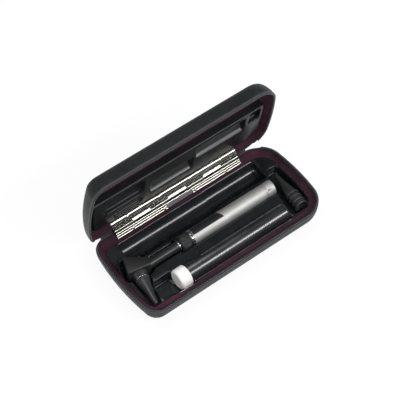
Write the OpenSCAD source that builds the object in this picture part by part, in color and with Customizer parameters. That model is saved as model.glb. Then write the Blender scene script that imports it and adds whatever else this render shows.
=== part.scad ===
// Otoscope carry case: a hard clamshell case with a sprung hinge, shown with its lid open,
// holding a pocket otoscope, a capped storage tube and a nest of spare specula.
// Millimetres. The case lies along X with its hinge at the rear (+Y).
// The origin is the middle of the underside.

/* [Case] */
// Room between the left end of the case and the face of the otoscope's head
left_room = 27.3; // [26.5:0.1:32]
// Room between the tail cap and the tip of the first spare speculum
spare_room = 14.6; // [14:0.1:16]
// Room between the tip of the first spare speculum and the right end of the case
right_room = 21.4; // [21.2:0.1:24]
// Width of the case from front to rear
case_w = 120; // [117:1:128]
// Height of the base up to the parting plane
base_h = 25; // [24:0.5:30]
// Height of the lid above the parting plane
lid_h = 21; // [20:0.5:28]
// Plan radius of the two corners at the head end
corner_left = 16; // [14:1:26]
// Plan radius of the two corners at the specula end
corner_right = 27; // [18:1:34]
// How far the middle of each end stands out past its corners
end_bow = 6.5; // [4:0.5:9]
// How far the base wall curves in from the lip to the underside
base_curve = 14; // [8:0.5:15]
// How far the lid wall curves in from the lip to the crown
lid_curve = 8; // [5:0.5:10]
// Thickness of the leatherette covering
cover_t = 1; // [0.8:0.1:1.2]
// Thickness of the stiff shell
shell_t = 1.2; // [1:0.1:1.5]
// Thickness of the velour lining
lining_t = 1.2; // [0.8:0.1:1.4]
// Height of the bound edge on each lip
binding_h = 1.6; // [1.2:0.1:2]
// Gap between the two lips when the case is shut
lip_gap = 0.4; // [0.3:0.1:0.6]
// Angle the lid is open at, counted from shut
open_angle = 81; // [70:1:88]

/* [Hinge] */
// Length of the hinge
hinge_l = 176; // [150:1:184]
// How far the middle of the hinge lies from the middle of the case
hinge_shift = -4; // [-6:1:2]
// How far the pin centre lies in from the rear face
pin_inset = 2.8; // [2.6:0.1:3.2]
// Diameter of the hinge pin
pin_d = 2.4; // [2:0.1:2.6]
// Radial clearance between the pin and its knuckles
pin_clearance = 0.06; // [0.03:0.01:0.1]
// Thickness of the hinge sheet
leaf_t = 0.8; // [0.6:0.1:1]
// Number of knuckles along the hinge
knuckles = 7; // [5:2:9]
// Length of the base leaf from the pin to its lower edge
base_leaf_l = 9.6; // [8:0.2:10]
// Slope of the base leaf from upright
base_leaf_slope = 36; // [32:1:40]
// Length of the lid leaf from the pin to its highest step
lid_leaf_l = 15.6; // [13:0.2:16]
// Slope of the lid leaf from upright with the case shut
lid_leaf_slope = 31; // [28:1:34]
// Diameter of a rivet head
rivet_d = 4; // [3:0.5:5]
// Height of a rivet head
rivet_h = 0.7; // [0.5:0.1:0.9]
// Thickness of the snap spring
spring_t = 0.5; // [0.4:0.1:0.6]

/* [Tray] */
// Height of the tray's top face above the underside
tray_z = 18; // [17:0.5:20]
// Thickness of the formed sheet
sheet_t = 0.9; // [0.7:0.1:1]
// Height of the floor of the head pocket and the finger well above the underside
pocket_floor = 5.2; // [5:0.1:5.3]
// Height of the specula well's floor above the underside
well_floor = 6.2; // [5.8:0.1:7]
// Gap between an instrument and its pocket
seat_gap = 0.5; // [0.4:0.1:0.7]
// Distance of the tray's edge in from the front and rear faces
tray_side_inset = 14.2; // [14:0.1:14.6]
// Distance of the tray's edge in from the ends
tray_end_inset = 10.4; // [9.6:0.1:11]
// Radius of the long part of the empty rear trough
trough_r = 15.4; // [14.4:0.1:15.6]
// Radius of the short part of the empty rear trough
trough_small_r = 14; // [12:0.2:14.2]
// Distance of the long part's centre line in from the rear face
trough_inset = 30.5; // [30.2:0.1:30.6]
// Depth of the trough below the tray's top face
trough_depth = 12.6; // [11:0.2:13.2]
// Distance of the trough's left end in from the left end of the case
trough_left = 31; // [29:1:36]
// Length of the trough's long part
trough_long_l = 120; // [107:1:130]
// Distance of the trough's right end in from the right end of the case
trough_right = 32; // [31:1:48]

/* [Lid insert] */
// Depth of the insert's flat face above the parting plane
insert_depth = 7.6; // [7:0.1:8.4]
// Distance of the insert's front edge in from the front face with the case shut
insert_front = 46; // [40:1:50]
// Half width of the channel over the trough
insert_channel_r = 13; // [11:0.5:14]

/* [Otoscope handle] */
// Y of the handle's axis
axis_y = 2.4; // [1.8:0.1:2.6]
// Diameter of the handle tube
handle_d = 18.4; // [17.6:0.1:18.6]
// Bore of the handle tube
handle_bore = 15.4; // [15:0.1:15.6]
// Bore of the threaded tail end of the handle tube
tail_bore = 16.8; // [16.6:0.1:17]
// Length of the threaded tail end of the handle tube
tail_thread_l = 6; // [5:0.5:8]
// Distance from the face of the head to the handle tube
head_to_handle = 75.7; // [74.7:0.5:76.7]
// Length of the handle tube
handle_l = 103; // [101:0.5:104]
// Length of the tail cap outside the tube
tail_l = 14; // [12:0.5:15]
// Length of the black label
label_l = 44; // [30:1:48]
// Thickness of the black label
label_t = 0.15; // [0.1:0.05:0.2]
// Length of the bright ring at the handle's front end
end_ring_l = 3.6; // [3:0.1:4]
// Diameter of the ribbed switch collar
collar_d = 19.4; // [19:0.1:19.8]
// Length of the ribbed switch collar
collar_l = 14; // [12:0.5:14.4]
// Number of ribs on the switch collar
collar_ribs = 28; // [20:2:32]
// Diameter of a battery cell
cell_d = 14.5; // [14:0.1:14.5]
// Length of the contact spring behind the cells
tail_spring_l = 6.5; // [6:0.1:8.9]

/* [Otoscope head] */
// Diameter of the neck
neck_d = 11.5; // [10:0.5:12.5]
// Diameter of the bright ring where the neck meets the collar
neck_ring_d = 14; // [13:0.5:16]
// Length of that ring
neck_ring_l = 2.4; // [2:0.2:3]
// Y of the middle of the head's front face
head_y = -2.8; // [-3.2:0.1:-2.6]
// Angle the nose leans away from the handle's square
head_tilt = 10; // [7:1:12]
// Width of the head's front face
head_w = 28; // [25:0.5:28]
// Height of the head
head_h = 25; // [23:0.5:25]
// Length of the nose from the head's face to the speculum
nose_l = 7.7; // [6.5:0.1:8]
// Length of a speculum
speculum_l = 34.2; // [32:0.2:34.4]
// Diameter of a speculum at its wide end
speculum_d = 15.6; // [15:0.1:16]
// Diameter of a speculum at its tip
speculum_tip_d = 4.4; // [4:0.1:5]
// Wall of a speculum
speculum_wall = 0.7; // [0.6:0.05:0.75]
// Width of the lens frame
lens_frame_w = 20; // [18:0.5:20.5]
// Height of the lens frame
lens_frame_h = 16; // [15:0.5:16]
// Diameter of the magnifying lens
lens_d = 12; // [10:0.5:13]

/* [Storage tube] */
// Distance of the tube's axis in from the front face
tube_inset = 26; // [25.6:0.1:26.4]
// Diameter of the tube
tube_d = 21.4; // [20:0.1:21.6]
// Wall of the tube
tube_wall = 1.2; // [1:0.1:1.6]
// Distance of the tube's closed end in from the right end of the case
tube_right = 45.5; // [45.5:0.5:50]
// Diameter of the cap
tube_cap_d = 25; // [24.4:0.1:25.6]
// Length of the cap
tube_cap_l = 14.4; // [13.6:0.2:16]
// Distance of the cap's closed face in from the left end of the case
tube_cap_left = 55; // [54:0.5:56]
// Depth of the cap's floor and stop over the open end of the tube
tube_cap_over = 9; // [8:0.5:10]
// How far the cap draws off the tube
tube_cap_travel = 8; // [7:0.5:9]

/* [Spare specula] */
// Number of nested spare specula
spare_count = 4; // [2:1:4]
// Step between nested specula
spare_pitch = 6; // [5.8:0.1:6.4]
// Distance of the tip of the first spare speculum in from the front face
spare_tip = 73; // [72:0.5:74]
// Angle that the nest of spare specula leans at
spare_tilt = 4.6; // [4.4:0.1:6]

/* [Hidden] */
$fn = 64;

// Colours as the photograph shows them
c_leather = [0.16, 0.18, 0.18];
c_velour = [0.20, 0.10, 0.13];
c_tray = [0.13, 0.14, 0.15];
c_steel = [0.82, 0.82, 0.80];
c_alloy = [0.76, 0.76, 0.75];
c_black = [0.09, 0.09, 0.10];
c_white = [0.93, 0.93, 0.91];
c_glass = [0.80, 0.88, 0.90];

// The case is as long as what lies along it, with room at each end
case_l = left_room + head_to_handle + handle_l + tail_l + spare_room + right_room;
left_x = -case_l / 2;
right_x = case_l / 2;
front_y = -case_w / 2;

// Steps round each plan corner, and along each bowed end
corner_steps = 7;
end_steps = 4;
// Angles down the curved wall, from the underside up to the lip
wall_angles = [90, 72, 54, 36, 18, 0];
// A cut is carried this far past the face that it opens
past = 1;

// The case is built up in layers, each counted in from the outer face
shell_in = cover_t;
lining_in = cover_t + shell_t;
inner_in = lining_in + lining_t;

// Hinge place
hinge_y = case_w / 2 - pin_inset;
hinge_z = base_h;
knuckle_r = pin_d / 2 + pin_clearance + leaf_t;
knuckle_pitch = hinge_l / knuckles;
knuckle_gap = 0.3;
// How far each end of the pin stands out of its knuckles
pin_over = 0.6;
// The rear wall stops short of the pin by this much, above and below
rear_cut = knuckle_r + 1.3;
rear_cut_y = hinge_y - rear_cut;
// The spine runs along the straight part of the rear wall
spine_x0 = corner_left - case_l / 2 + 3;
spine_x1 = case_l / 2 - corner_right - 3;
leaf_room = 0.1;
rivet_shank_d = rivet_d / 2;
// How far along each leaf from the pin its rivets sit, and how deep their shanks go behind it
rivet_base_at = 7;
rivet_lid_at = 8.4;
rivet_shank_l = 3;

// Otoscope places
axis_z = tray_z;
head_x = left_x + left_room;
handle_x0 = head_x + head_to_handle;
handle_x1 = handle_x0 + handle_l;
end_ring_x0 = handle_x0 - end_ring_l;
collar_x0 = end_ring_x0 - collar_l;
neck_ring_x0 = collar_x0 - neck_ring_l;
spigot_d = 12;
running_gap = 0.08;
turn_gap = 0.3;
channel_r = collar_d / 2 + seat_gap;
head_z0 = axis_z - head_h / 2;
// Plan of the head in its own frame: X towards the handle, Y back from the nose
head_plan = [[-head_w / 2, 0], [head_w / 2, 0], [head_w / 2 + 3.2, 9], [-head_w / 2 + 4.6, 23.7]];
head_corner_r = 2;
head_bevel = 1.6;
rear_face_a = head_plan[2];
rear_face_b = head_plan[3];
rear_face_l = norm(rear_face_b - rear_face_a);
rear_face_angle = atan2(rear_face_b.y - rear_face_a.y, rear_face_b.x - rear_face_a.x);
lens_frame_t = 2;
lens_stand_off = 0.3;
lens_pivot_d = 3;
lens_pivot_inset = 3;
nose_ring_r = speculum_d / 2 + 0.2;
nose_ring_t = 0.9;
flange_l = 1.6;
flange_over = 0.5;
// Radius of the nose inside the speculum's wide end
nose_tip_r = speculum_d / 2 - speculum_wall - turn_gap - 0.5;

// Tube and spare places
tube_y = front_y + tube_inset;
tube_z = tray_z;
tube_cap_x0 = left_x + tube_cap_left;
tube_x0 = tube_cap_x0 + tube_cap_over;
tube_x1 = right_x - tube_right;
cap_bore_gap = 0.3;
cap_floor_t = 1.6;
spare_x = handle_x1 + tail_l + spare_room;
spare_tip_y = front_y + spare_tip;
spare_z = axis_z - 2;

// Layered shells

// The padding behind the leaves runs past them by this much
bed_over = 6;

// Outline of the case drawn in by ix at the ends and iy at the sides, anticlockwise from the right
function corner_pts(sx, sy, r, a0, ix, iy) = [for (k = [0:corner_steps])
    let (a = a0 + 90 * k / corner_steps, q = max(r - (ix + iy) / 2, 5))
    [sx * (case_l / 2 - ix - q) + q * cos(a), sy * (case_w / 2 - iy - q) + q * sin(a)]];
function end_pts(sx, r, ix, iy) =
    let (q = max(r - (ix + iy) / 2, 5), run = case_w / 2 - iy - q)
    [for (k = [1:end_steps - 1]) [sx * (case_l / 2 - ix), sx * run * (2 * k / end_steps - 1)]];
function square_outline(ix, iy) = concat(
    corner_pts(1, 1, corner_right, 0, ix, iy), corner_pts(-1, 1, corner_left, 90, ix, iy),
    end_pts(-1, corner_left, ix, iy),
    corner_pts(-1, -1, corner_left, 180, ix, iy), corner_pts(1, -1, corner_right, 270, ix, iy),
    end_pts(1, corner_right, ix, iy));
// The ends are bowed: the outline narrows along X towards the front and rear faces
function bowed(p) = [p.x * (1 - end_bow / (case_l / 2) * pow(p.y / (case_w / 2), 2)), p.y];
function outline(ix, iy) = [for (p = square_outline(ix, iy)) bowed(p)];

function ring(ix, iy, z) = [for (p = outline(ix, iy)) [p.x, p.y, z]];
// Rings of a curved wall, d in from the outer face, from its floor up to its lip
function wall_rings(d, curve, top) = [for (a = wall_angles)
    ring(d + curve * (1 - cos(a)), d + curve * (1 - cos(a)), d + (top - d) * (1 - sin(a)))];
function reversed(v) = [for (i = [len(v) - 1:-1:0]) v[i]];

// Two triangles between ring i and ring h. The split follows the higher ring, so touching layers match.
function band(rings, i, h, n) = let (up = rings[h][0].z > rings[i][0].z)
    [for (j = [0:n - 1]) let (k = (j + 1) % n, a = i * n + j, b = h * n + j, c = h * n + k, d = i * n + k)
        each (up ? [[a, b, c], [a, c, d]] : [[a, b, d], [b, c, d]])];

// Solid skinned over a run of rings, closed by a face at each end
module skin(rings) {
    n = len(rings[0]);
    m = len(rings);
    sides = [for (i = [0:m - 2]) each band(rings, i, i + 1, n)];
    first = [for (j = [1:n - 2]) [0, j, j + 1]];
    last = [for (j = [1:n - 2]) [(m - 1) * n, (m - 1) * n + j + 1, (m - 1) * n + j]];
    polyhedron([for (r = rings) each r], concat(sides, first, last));
}

// Solid skinned over a closed loop of rings
module skin_loop(rings) {
    n = len(rings[0]);
    m = len(rings);
    polyhedron([for (r = rings) each r], [for (i = [0:m - 1]) each band(rings, i, (i + 1) % m, n)]);
}

// One layer of a half, lying open side up: from d_out to d_in below the outer face
module layer(h, curve, d_out, d_in) {
    top = h - lip_gap / 2 - binding_h;
    difference() {
        skin(concat(wall_rings(d_out, curve, top), reversed(wall_rings(d_in, curve, top))));
        rear_opening(h);
    }
}

// Room for the hinge at the rear of a half that lies open side up
module rear_opening(h) {
    translate([-case_l / 2, rear_cut_y, h - rear_cut])
        cube([case_l, case_w, rear_cut + past]);
}

// Bound edge of a half
module binding(h) {
    top = h - lip_gap / 2;
    b = binding_h;
    w = inner_in;
    round_over = b * 0.4;
    profile = [[0, top - b], [0, top - round_over], [round_over, top], [w - round_over, top],
        [w, top - round_over], [w, top - b]];
    difference() {
        skin_loop([for (p = profile) ring(p.x, p.x, p.y)]);
        rear_opening(h);
    }
}

// Padded velour of the base: a cove from the lip down to the tray's edge
module base_pad() {
    top = base_h - lip_gap / 2 - binding_h;
    foot = tray_z - sheet_t;
    end_in = tray_end_inset - 0.2;
    side_in = tray_side_inset - 0.2;
    outer = [for (a = wall_angles) if (a < 60)
        ring(lining_in + base_curve * (1 - cos(a)), lining_in + base_curve * (1 - cos(a)),
            lining_in + (top - lining_in) * (1 - sin(a)))];
    cove = [for (a = [0, 22, 45, 67, 90])
        ring(inner_in + (end_in - inner_in) * (1 - cos(a)), inner_in + (side_in - inner_in) * (1 - cos(a)),
            top - (top - foot) * sin(a))];
    low = [ring(end_in, side_in, outer[0][0].z)];
    skin_loop(concat(outer, cove, low));
}

// Lid half turned over and closed on the base, then opened about the pin
module shut_lid() {
    translate([0, 0, base_h + lid_h]) mirror([0, 0, 1]) children();
}
module opened() {
    translate([0, hinge_y, hinge_z]) rotate([-open_angle, 0, 0])
        translate([0, -hinge_y, -hinge_z]) children();
}

// Frame of a hinge leaf: origin on the pin, Z up the leaf. The leaf's front face is at -knuckle_r.
module base_leaf_frame() {
    translate([0, hinge_y, hinge_z]) rotate([-base_leaf_slope, 0, 0]) children();
}
module lid_leaf_frame() {
    translate([0, hinge_y, hinge_z]) rotate([lid_leaf_slope, 0, 0]) children();
}
// Room for a leaf in its lining, from z0 to z1 along the leaf
module leaf_slot(z0, z1) {
    front = 4;
    translate([hinge_x0() - leaf_room, -knuckle_r - front, z0])
        cube([hinge_l + 2 * leaf_room, front + leaf_t, z1 - z0]);
}
// Padding behind a leaf, back to the lining
module leaf_bed(z0, z1) {
    translate([hinge_x0() - bed_over, leaf_t - knuckle_r, z0])
        cube([hinge_l + 2 * bed_over, case_w, z1 - z0]);
}

// Polygons with rounded corners
function unit(v) = v / norm(v);
function corner_arc(p, a, b, r, n) =
    let (u = unit(a - p), v = unit(b - p), half = acos(u * v) / 2, c = p + unit(u + v) * r / sin(half),
        s = p + u * r / tan(half), e = p + v * r / tan(half),
        a0 = atan2(s.y - c.y, s.x - c.x), d = atan2(e.y - c.y, e.x - c.x) - a0,
        turn = d > 180 ? d - 360 : d < -180 ? d + 360 : d)
    [for (k = [0:n]) c + r * [cos(a0 + turn * k / n), sin(a0 + turn * k / n)]];
function rounded(p, r, n = 5) = [for (i = [0:len(p) - 1])
    each corner_arc(p[i], p[(i + len(p) - 1) % len(p)], p[(i + 1) % len(p)], r, n)];
// Convex polygon with every edge moved out by g
function grown(p, g) = [for (i = [0:len(p) - 1])
    let (u = unit(p[(i + len(p) - 1) % len(p)] - p[i]), v = unit(p[(i + 1) % len(p)] - p[i]),
        half = acos(u * v) / 2) p[i] - unit(u + v) * g / sin(half)];
function box_pts(x0, y0, x1, y1) = [[x0, y0], [x1, y0], [x1, y1], [x0, y1]];

// Cylinder lying along X from x0 to x1
module rod(x0, x1, r, y, z) {
    translate([x0, y, z]) rotate([0, 90, 0]) cylinder(h = x1 - x0, r = r);
}
// Turned profile lying along X, given as [radius, distance] pairs from x0
module turned(points, x0, y, z) {
    translate([x0, y, z]) rotate([0, 90, 0]) rotate_extrude() polygon(points);
}
// Lamp in the neck, and the light way from it to the sight bore
lamp_d = 6;
lamp_l = 12.4;
lamp_x0 = head_x + head_w / 2 + 5.2;
light_way_d = 4;
// Disc that closes the front of the handle tube, and the gap before the cells
plug_t = 0.5;
cell_gap = 0.2;
// Depth of the hollow in the tail cap
tail_hollow = 3;

// Frame of the otoscope's head: X towards the handle, Y back from the nose, origin on the nose axis
module head_frame() {
    translate([head_x, head_y, axis_z]) rotate([0, 0, -head_tilt]) children();
}
// Turned profile along the nose, given as [radius, distance in front of the head's face] pairs
module nose_turned(points) {
    head_frame() rotate([90, 0, 0]) rotate_extrude() polygon(points);
}

// Pockets of the tray. Each is grown by g to make its own sheet wall.
head_room = 3.2;
neck_room = 2;
// The specula well stands round the spares, and the finger well runs from the head to the cap
well_plan = [[-7, 11], [9.8, 11], [9.8, -49], [1.4, -56.4], [-20, -56.4], [-21, -49]]
    + [for (k = [0:5]) [spare_x, spare_tip_y]];
finger_plan = box_pts(head_x + 3.2, tube_y - 10.6, tube_cap_x0 + 2, tube_y + 15);
head_pocket_plan = grown(head_plan, head_room);
pocket_top = tray_z + past;

// What lies within the tray's edge, less its sheet
module within_tray(g) {
    i = sheet_t - g;
    linear_extrude(pocket_top) polygon(outline(tray_end_inset + i, tray_side_inset + i));
}
module pocket(plan, r, floor_z, g) {
    translate([0, 0, floor_z - g]) linear_extrude(pocket_top - floor_z + g)
        polygon(rounded(grown(plan, g), r + g));
}
module otoscope_pocket(g) {
    rod(neck_ring_x0 - seat_gap - g, handle_x1 + tail_l + seat_gap + g, channel_r + g, axis_y, axis_z);
    rod(head_x - g, neck_ring_x0 + g, neck_d / 2 + neck_room + g, axis_y, axis_z);
    head_frame() translate([0, 0, pocket_floor - axis_z - g])
        linear_extrude(pocket_top - pocket_floor + g) polygon(rounded(grown(head_pocket_plan, g), 4 + g));
    // Tapered seat of the speculum
    head_frame() rotate([90, 0, 0]) translate([0, 0, -past])
        cylinder(h = nose_l + speculum_l + 3 + past + g, r1 = speculum_d / 2 + 3.4 + g, r2 = 5.4 + g);
}
module tube_pocket(g) {
    rod(tube_cap_x0 + past, tube_x1 + seat_gap + g, tube_d / 2 + seat_gap + g, tube_y, tube_z);
    pocket(finger_plan, 6, pocket_floor, g);
}
module cap_pocket(g) {
    rod(tube_cap_x0 - tube_cap_travel - seat_gap - g, tube_cap_x0 + tube_cap_l + seat_gap + g,
        tube_cap_d / 2 + seat_gap + g, tube_y, tube_z);
}
module trough(g) {
    x0 = left_x + trough_left;
    step_x = x0 + trough_long_l;
    y = -front_y - trough_inset;
    trough_part(x0, step_x, trough_r, y, g);
    // Both parts share their rear edge
    trough_part(step_x, right_x - trough_right, trough_small_r, y + trough_r - trough_small_r, g);
}
module trough_part(x0, x1, r, y, g) {
    rod(x0 - g, x1 + g, r + g, y, tray_z - trough_depth + r);
}
module pockets(g) {
    intersection() {
        union() {
            otoscope_pocket(g);
            tube_pocket(g);
            trough(g);
            pocket(well_plan, 7, well_floor, g);
        }
        within_tray(g);
    }
    cap_pocket(g);
}
module plate(ix, iy, z, t) {
    translate([0, 0, z]) linear_extrude(t) polygon(outline(ix, iy));
}

// Base

module base_cover() {
    color(c_leather) layer(base_h, base_curve, 0, shell_in);
}
module base_shell() {
    color(c_black) difference() {
        layer(base_h, base_curve, shell_in, lining_in);
        rivets_base_at() rivet_hole();
    }
}
module base_lining() {
    color(c_velour) difference() {
        union() {
            base_pad();
            intersection() {
                base_leaf_frame() leaf_bed(-base_leaf_l - leaf_room, -knuckle_r - 1);
                translate([-case_l / 2, 0, tray_z - sheet_t]) cube([case_l, case_w / 2 - inner_in, base_h]);
            }
        }
        rear_opening(base_h);
        base_leaf_frame() leaf_slot(-base_leaf_l - leaf_room, 0);
        cap_pocket(sheet_t + leaf_room);
        rivets_base_at() rivet_hole();
    }
}
module base_rim() {
    color(c_leather) binding(base_h);
}
module base_tray() {
    color(c_tray) difference() {
        union() {
            plate(tray_end_inset, tray_side_inset, tray_z - sheet_t, sheet_t);
            intersection() {
                pockets(sheet_t);
                translate([-case_l / 2, -case_w / 2, 0]) cube([case_l, case_w, tray_z]);
            }
        }
        pockets(0);
    }
}

// Hinge

function hinge_x0() = hinge_shift - hinge_l / 2;
// Every other knuckle belongs to the lid, starting with the second
module knuckle_row(first) {
    for (i = [first:2:knuckles - 1])
        rod(hinge_x0() + i * knuckle_pitch + knuckle_gap / 2,
            hinge_x0() + (i + 1) * knuckle_pitch - knuckle_gap / 2, knuckle_r, 0, 0);
}
// Strips that join every other knuckle to its leaf, in the leaf's frame
module knuckle_tabs(first, z0, z1) {
    for (i = [first:2:knuckles - 1])
        translate([hinge_x0() + i * knuckle_pitch + knuckle_gap / 2, -knuckle_r, z0])
            cube([knuckle_pitch - knuckle_gap, leaf_t, z1 - z0]);
}
module pin_bore() {
    rod(hinge_x0() - past, hinge_x0() + hinge_l + past, pin_d / 2 + pin_clearance, 0, 0);
}
// Rivet places along the leaves, origin on the leaf's front face and Z into the case wall
rivet_x = [for (k = [0:3]) hinge_x0() + hinge_l * (2 * k + 1) / 8];
module rivets_base_at() {
    base_leaf_frame() for (x = rivet_x)
        translate([x, -knuckle_r, -rivet_base_at]) rotate([-90, 0, 0]) children();
}
module rivets_lid_at() {
    lid_leaf_frame() for (x = rivet_x)
        translate([x, -knuckle_r, rivet_lid_at]) rotate([-90, 0, 0]) children();
}
// A rivet: a low head on the leaf and a shank back into the padding
module rivet() {
    translate([0, 0, -rivet_h]) cylinder(h = rivet_h, r1 = rivet_d / 2 * 0.7, r2 = rivet_d / 2);
    cylinder(h = leaf_t + rivet_shank_l, r = rivet_shank_d / 2);
}
module rivet_hole() {
    cylinder(h = leaf_t + rivet_shank_l, r = rivet_shank_d / 2);
}
module hinge_leaf_base() {
    color(c_steel) difference() {
        base_leaf_frame() {
            translate([hinge_x0(), -knuckle_r, -base_leaf_l])
                cube([hinge_l, leaf_t, base_leaf_l - knuckle_r - knuckle_gap]);
            knuckle_tabs(0, -base_leaf_l, 0);
            knuckle_row(0);
        }
        base_leaf_frame() pin_bore();
        rivets_base_at() rivet_hole();
    }
}
module hinge_pin() {
    color(c_steel) rod(hinge_x0() - pin_over, hinge_x0() + hinge_l + pin_over, pin_d / 2, hinge_y, hinge_z);
}
// The lid leaf rises in steps from the head end to the specula end
module hinge_leaf_lid() {
    l = hinge_l;
    h = lid_leaf_l;
    foot = knuckle_r + knuckle_gap;
    steps = [[0, foot], [l, foot], [l, h * 0.7], [l - 5, h], [l * 0.68, h], [l * 0.65, h * 0.93],
        [l * 0.34, h * 0.93], [l * 0.24, h * 0.79], [l * 0.03, h * 0.79], [0, h * 0.62]];
    color(c_steel) opened() difference() {
        lid_leaf_frame() {
            translate([hinge_x0(), leaf_t - knuckle_r, 0]) rotate([90, 0, 0])
                linear_extrude(leaf_t) polygon(steps);
            knuckle_tabs(1, 0, h * 0.6);
            knuckle_row(1);
        }
        lid_leaf_frame() pin_bore();
        rivets_lid_at() rivet_hole();
    }
}
module hinge_rivets_base() {
    color(c_steel) rivets_base_at() rivet();
}
module hinge_rivets_lid() {
    color(c_steel) opened() rivets_lid_at() rivet();
}
// Snap spring: a flat strip on the front of the base leaf, under the middle knuckle
module hinge_spring() {
    l = knuckle_pitch * 2 - 14;
    side = 0.8;
    color(c_steel) base_leaf_frame() translate([hinge_shift - l / 2, -knuckle_r - spring_t, side - base_leaf_l])
        cube([l, spring_t, base_leaf_l - knuckle_r - knuckle_gap - 2 * side]);
}
// Y of a half's outer face at the cut in its rear wall
function cut_y(h, curve) = let (top = h - lip_gap / 2 - binding_h, a = wall_angles[len(wall_angles) - 2])
    case_w / 2 - curve * (1 - cos(a)) * (top - h + rear_cut) / (top * sin(a));
// A point of the shut lid, carried round to where it lies when open
function carried(y, z) = let (dy = y - hinge_y, dz = z - hinge_z)
    [hinge_y + dy * cos(open_angle) + dz * sin(open_angle),
        hinge_z - dy * sin(open_angle) + dz * cos(open_angle)];
// Leatherette spine that joins the two coverings behind the pin
module hinge_cover() {
    w = cover_t;
    yb = cut_y(base_h, base_curve);
    yl = cut_y(lid_h, lid_curve);
    zb = base_h - rear_cut;
    base_out = [yb, zb];
    base_in = [yb - w, zb];
    lid_out = carried(yl, base_h + rear_cut);
    lid_in = carried(yl - w, base_h + rear_cut);
    color(c_leather) translate([spine_x0, 0, 0]) rotate([90, 0, 90]) linear_extrude(spine_x1 - spine_x0)
        polygon([base_in, base_out, base_out + [0.05, 0.5], lid_out + [-0.5, -0.1], lid_out,
            lid_in, lid_in + [-0.6, 0.1], base_in + [0.35, 1.9], base_in + [0.02, 1]]);
}

// Lid

module lid_cover() {
    color(c_leather) opened() shut_lid() layer(lid_h, lid_curve, 0, shell_in);
}
module lid_shell() {
    color(c_black) opened() difference() {
        shut_lid() layer(lid_h, lid_curve, shell_in, lining_in);
        rivets_lid_at() rivet_hole();
    }
}
// Padded along the rear, where the leaf lies on it
module lid_lining() {
    color(c_velour) opened() difference() {
        union() {
            shut_lid() layer(lid_h, lid_curve, lining_in, inner_in);
            intersection() {
                lid_leaf_frame() leaf_bed(knuckle_r + 1, case_w);
                shut_lid() skin(wall_rings(inner_in, lid_curve, lid_h - lip_gap / 2 - binding_h));
                translate([-case_l / 2, tray_edge_y(), 0]) cube([case_l, case_w, case_w]);
            }
        }
        shut_lid() rear_opening(lid_h);
        lid_leaf_frame() leaf_slot(0, lid_leaf_l + leaf_room);
        rivets_lid_at() rivet_hole();
    }
}
function tray_edge_y() = case_w / 2 - tray_side_inset + leaf_room;
module lid_rim() {
    color(c_leather) opened() shut_lid() binding(lid_h);
}
insert_front_y = front_y + insert_front;
insert_z = base_h + insert_depth;
insert_roof = base_h + lid_h - inner_in;
module insert_form(g) {
    r = insert_channel_r;
    y = insert_front_y;
    // Channel over the trough, left of the step
    insert_rod(left_x + 90, 20, r, y + 35, g);
    // Channel over the handle, right of the step
    insert_rod(24, right_x - 36, r - 0.5, y + 18, g);
    insert_pocket(box_pts(right_x - 30, y + 2, right_x - 14, y + 24), 3, 7, g);
    insert_pocket(box_pts(left_x + 28, y + 6, left_x + 80, y + 36), 5, 6, g);
    insert_pocket(box_pts(left_x + 40, y + 43, left_x + 78, y + 54), 3, 4, g);
}
module insert_rod(x0, x1, r, y, g) {
    rod(x0 - g, x1 + g, r + g, y, insert_roof - sheet_t - r);
}
module insert_pocket(plan, r, depth, g) {
    translate([0, 0, insert_z - past]) linear_extrude(depth + past + g)
        polygon(rounded(grown(plan, g), r + g));
}
module lid_insert() {
    color(c_tray) opened() difference() {
        union() {
            intersection() {
                plate(tray_end_inset, tray_side_inset, insert_z, sheet_t);
                translate([-case_l / 2, insert_front_y, 0]) cube([case_l, case_w, case_w]);
            }
            // Front skirt that stands the insert off the lid's crown
            translate([-case_l / 2 + 24, insert_front_y, insert_z])
                cube([case_l - 48, sheet_t, insert_roof - insert_z]);
            intersection() {
                insert_form(sheet_t);
                translate([-case_l / 2, -case_w / 2, insert_z]) cube([case_l, case_w, case_w]);
            }
        }
        insert_form(0);
    }
}

// Otoscope

module handle_tube() {
    color(c_alloy) difference() {
        rod(handle_x0, handle_x1, handle_d / 2, axis_y, axis_z);
        rod(handle_x0 - past, handle_x1 + past, handle_bore / 2, axis_y, axis_z);
        rod(handle_x1 - tail_thread_l, handle_x1 + past, tail_bore / 2, axis_y, axis_z);
    }
}
// Bare black label wrapped over the tube's upper rear face
module handle_label() {
    color(c_black) intersection() {
        difference() {
            rod(handle_x0 + 0.4, handle_x0 + label_l, handle_d / 2 + label_t, axis_y, axis_z);
            rod(handle_x0 - past, handle_x0 + label_l + past, handle_d / 2, axis_y, axis_z);
        }
        translate([handle_x0, axis_y, axis_z]) rotate([-52, 0, 0])
            translate([0, -handle_d * 0.42, 0]) cube([label_l + past, handle_d * 0.84, handle_d]);
    }
}
module handle_end_ring() {
    b = 0.6;
    color(c_steel) turned([[spigot_d / 2, 0], [collar_d / 2 - b, 0], [collar_d / 2, b],
        [collar_d / 2, end_ring_l - b], [collar_d / 2 - b, end_ring_l], [spigot_d / 2, end_ring_l]],
        end_ring_x0, axis_y, axis_z);
}
module batteries() {
    nub_r = 2.6;
    nub_l = 1.1;
    color(c_alloy) for (k = [0:1])
        turned([[0, 0], [nub_r, 0], [nub_r, nub_l], [cell_d / 2, nub_l], [cell_d / 2, cell_l], [0, cell_l]],
            cell_x(k), axis_y, axis_z);
}
// Two cells fill the handle from the gap behind its plug to the contact spring
cell_l = (handle_x1 + tail_hollow - tail_spring_l - handle_x0 - plug_t - cell_gap) / 2 - cell_gap;
function cell_x(k) = handle_x0 + plug_t + cell_gap + k * (cell_l + cell_gap);
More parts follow.
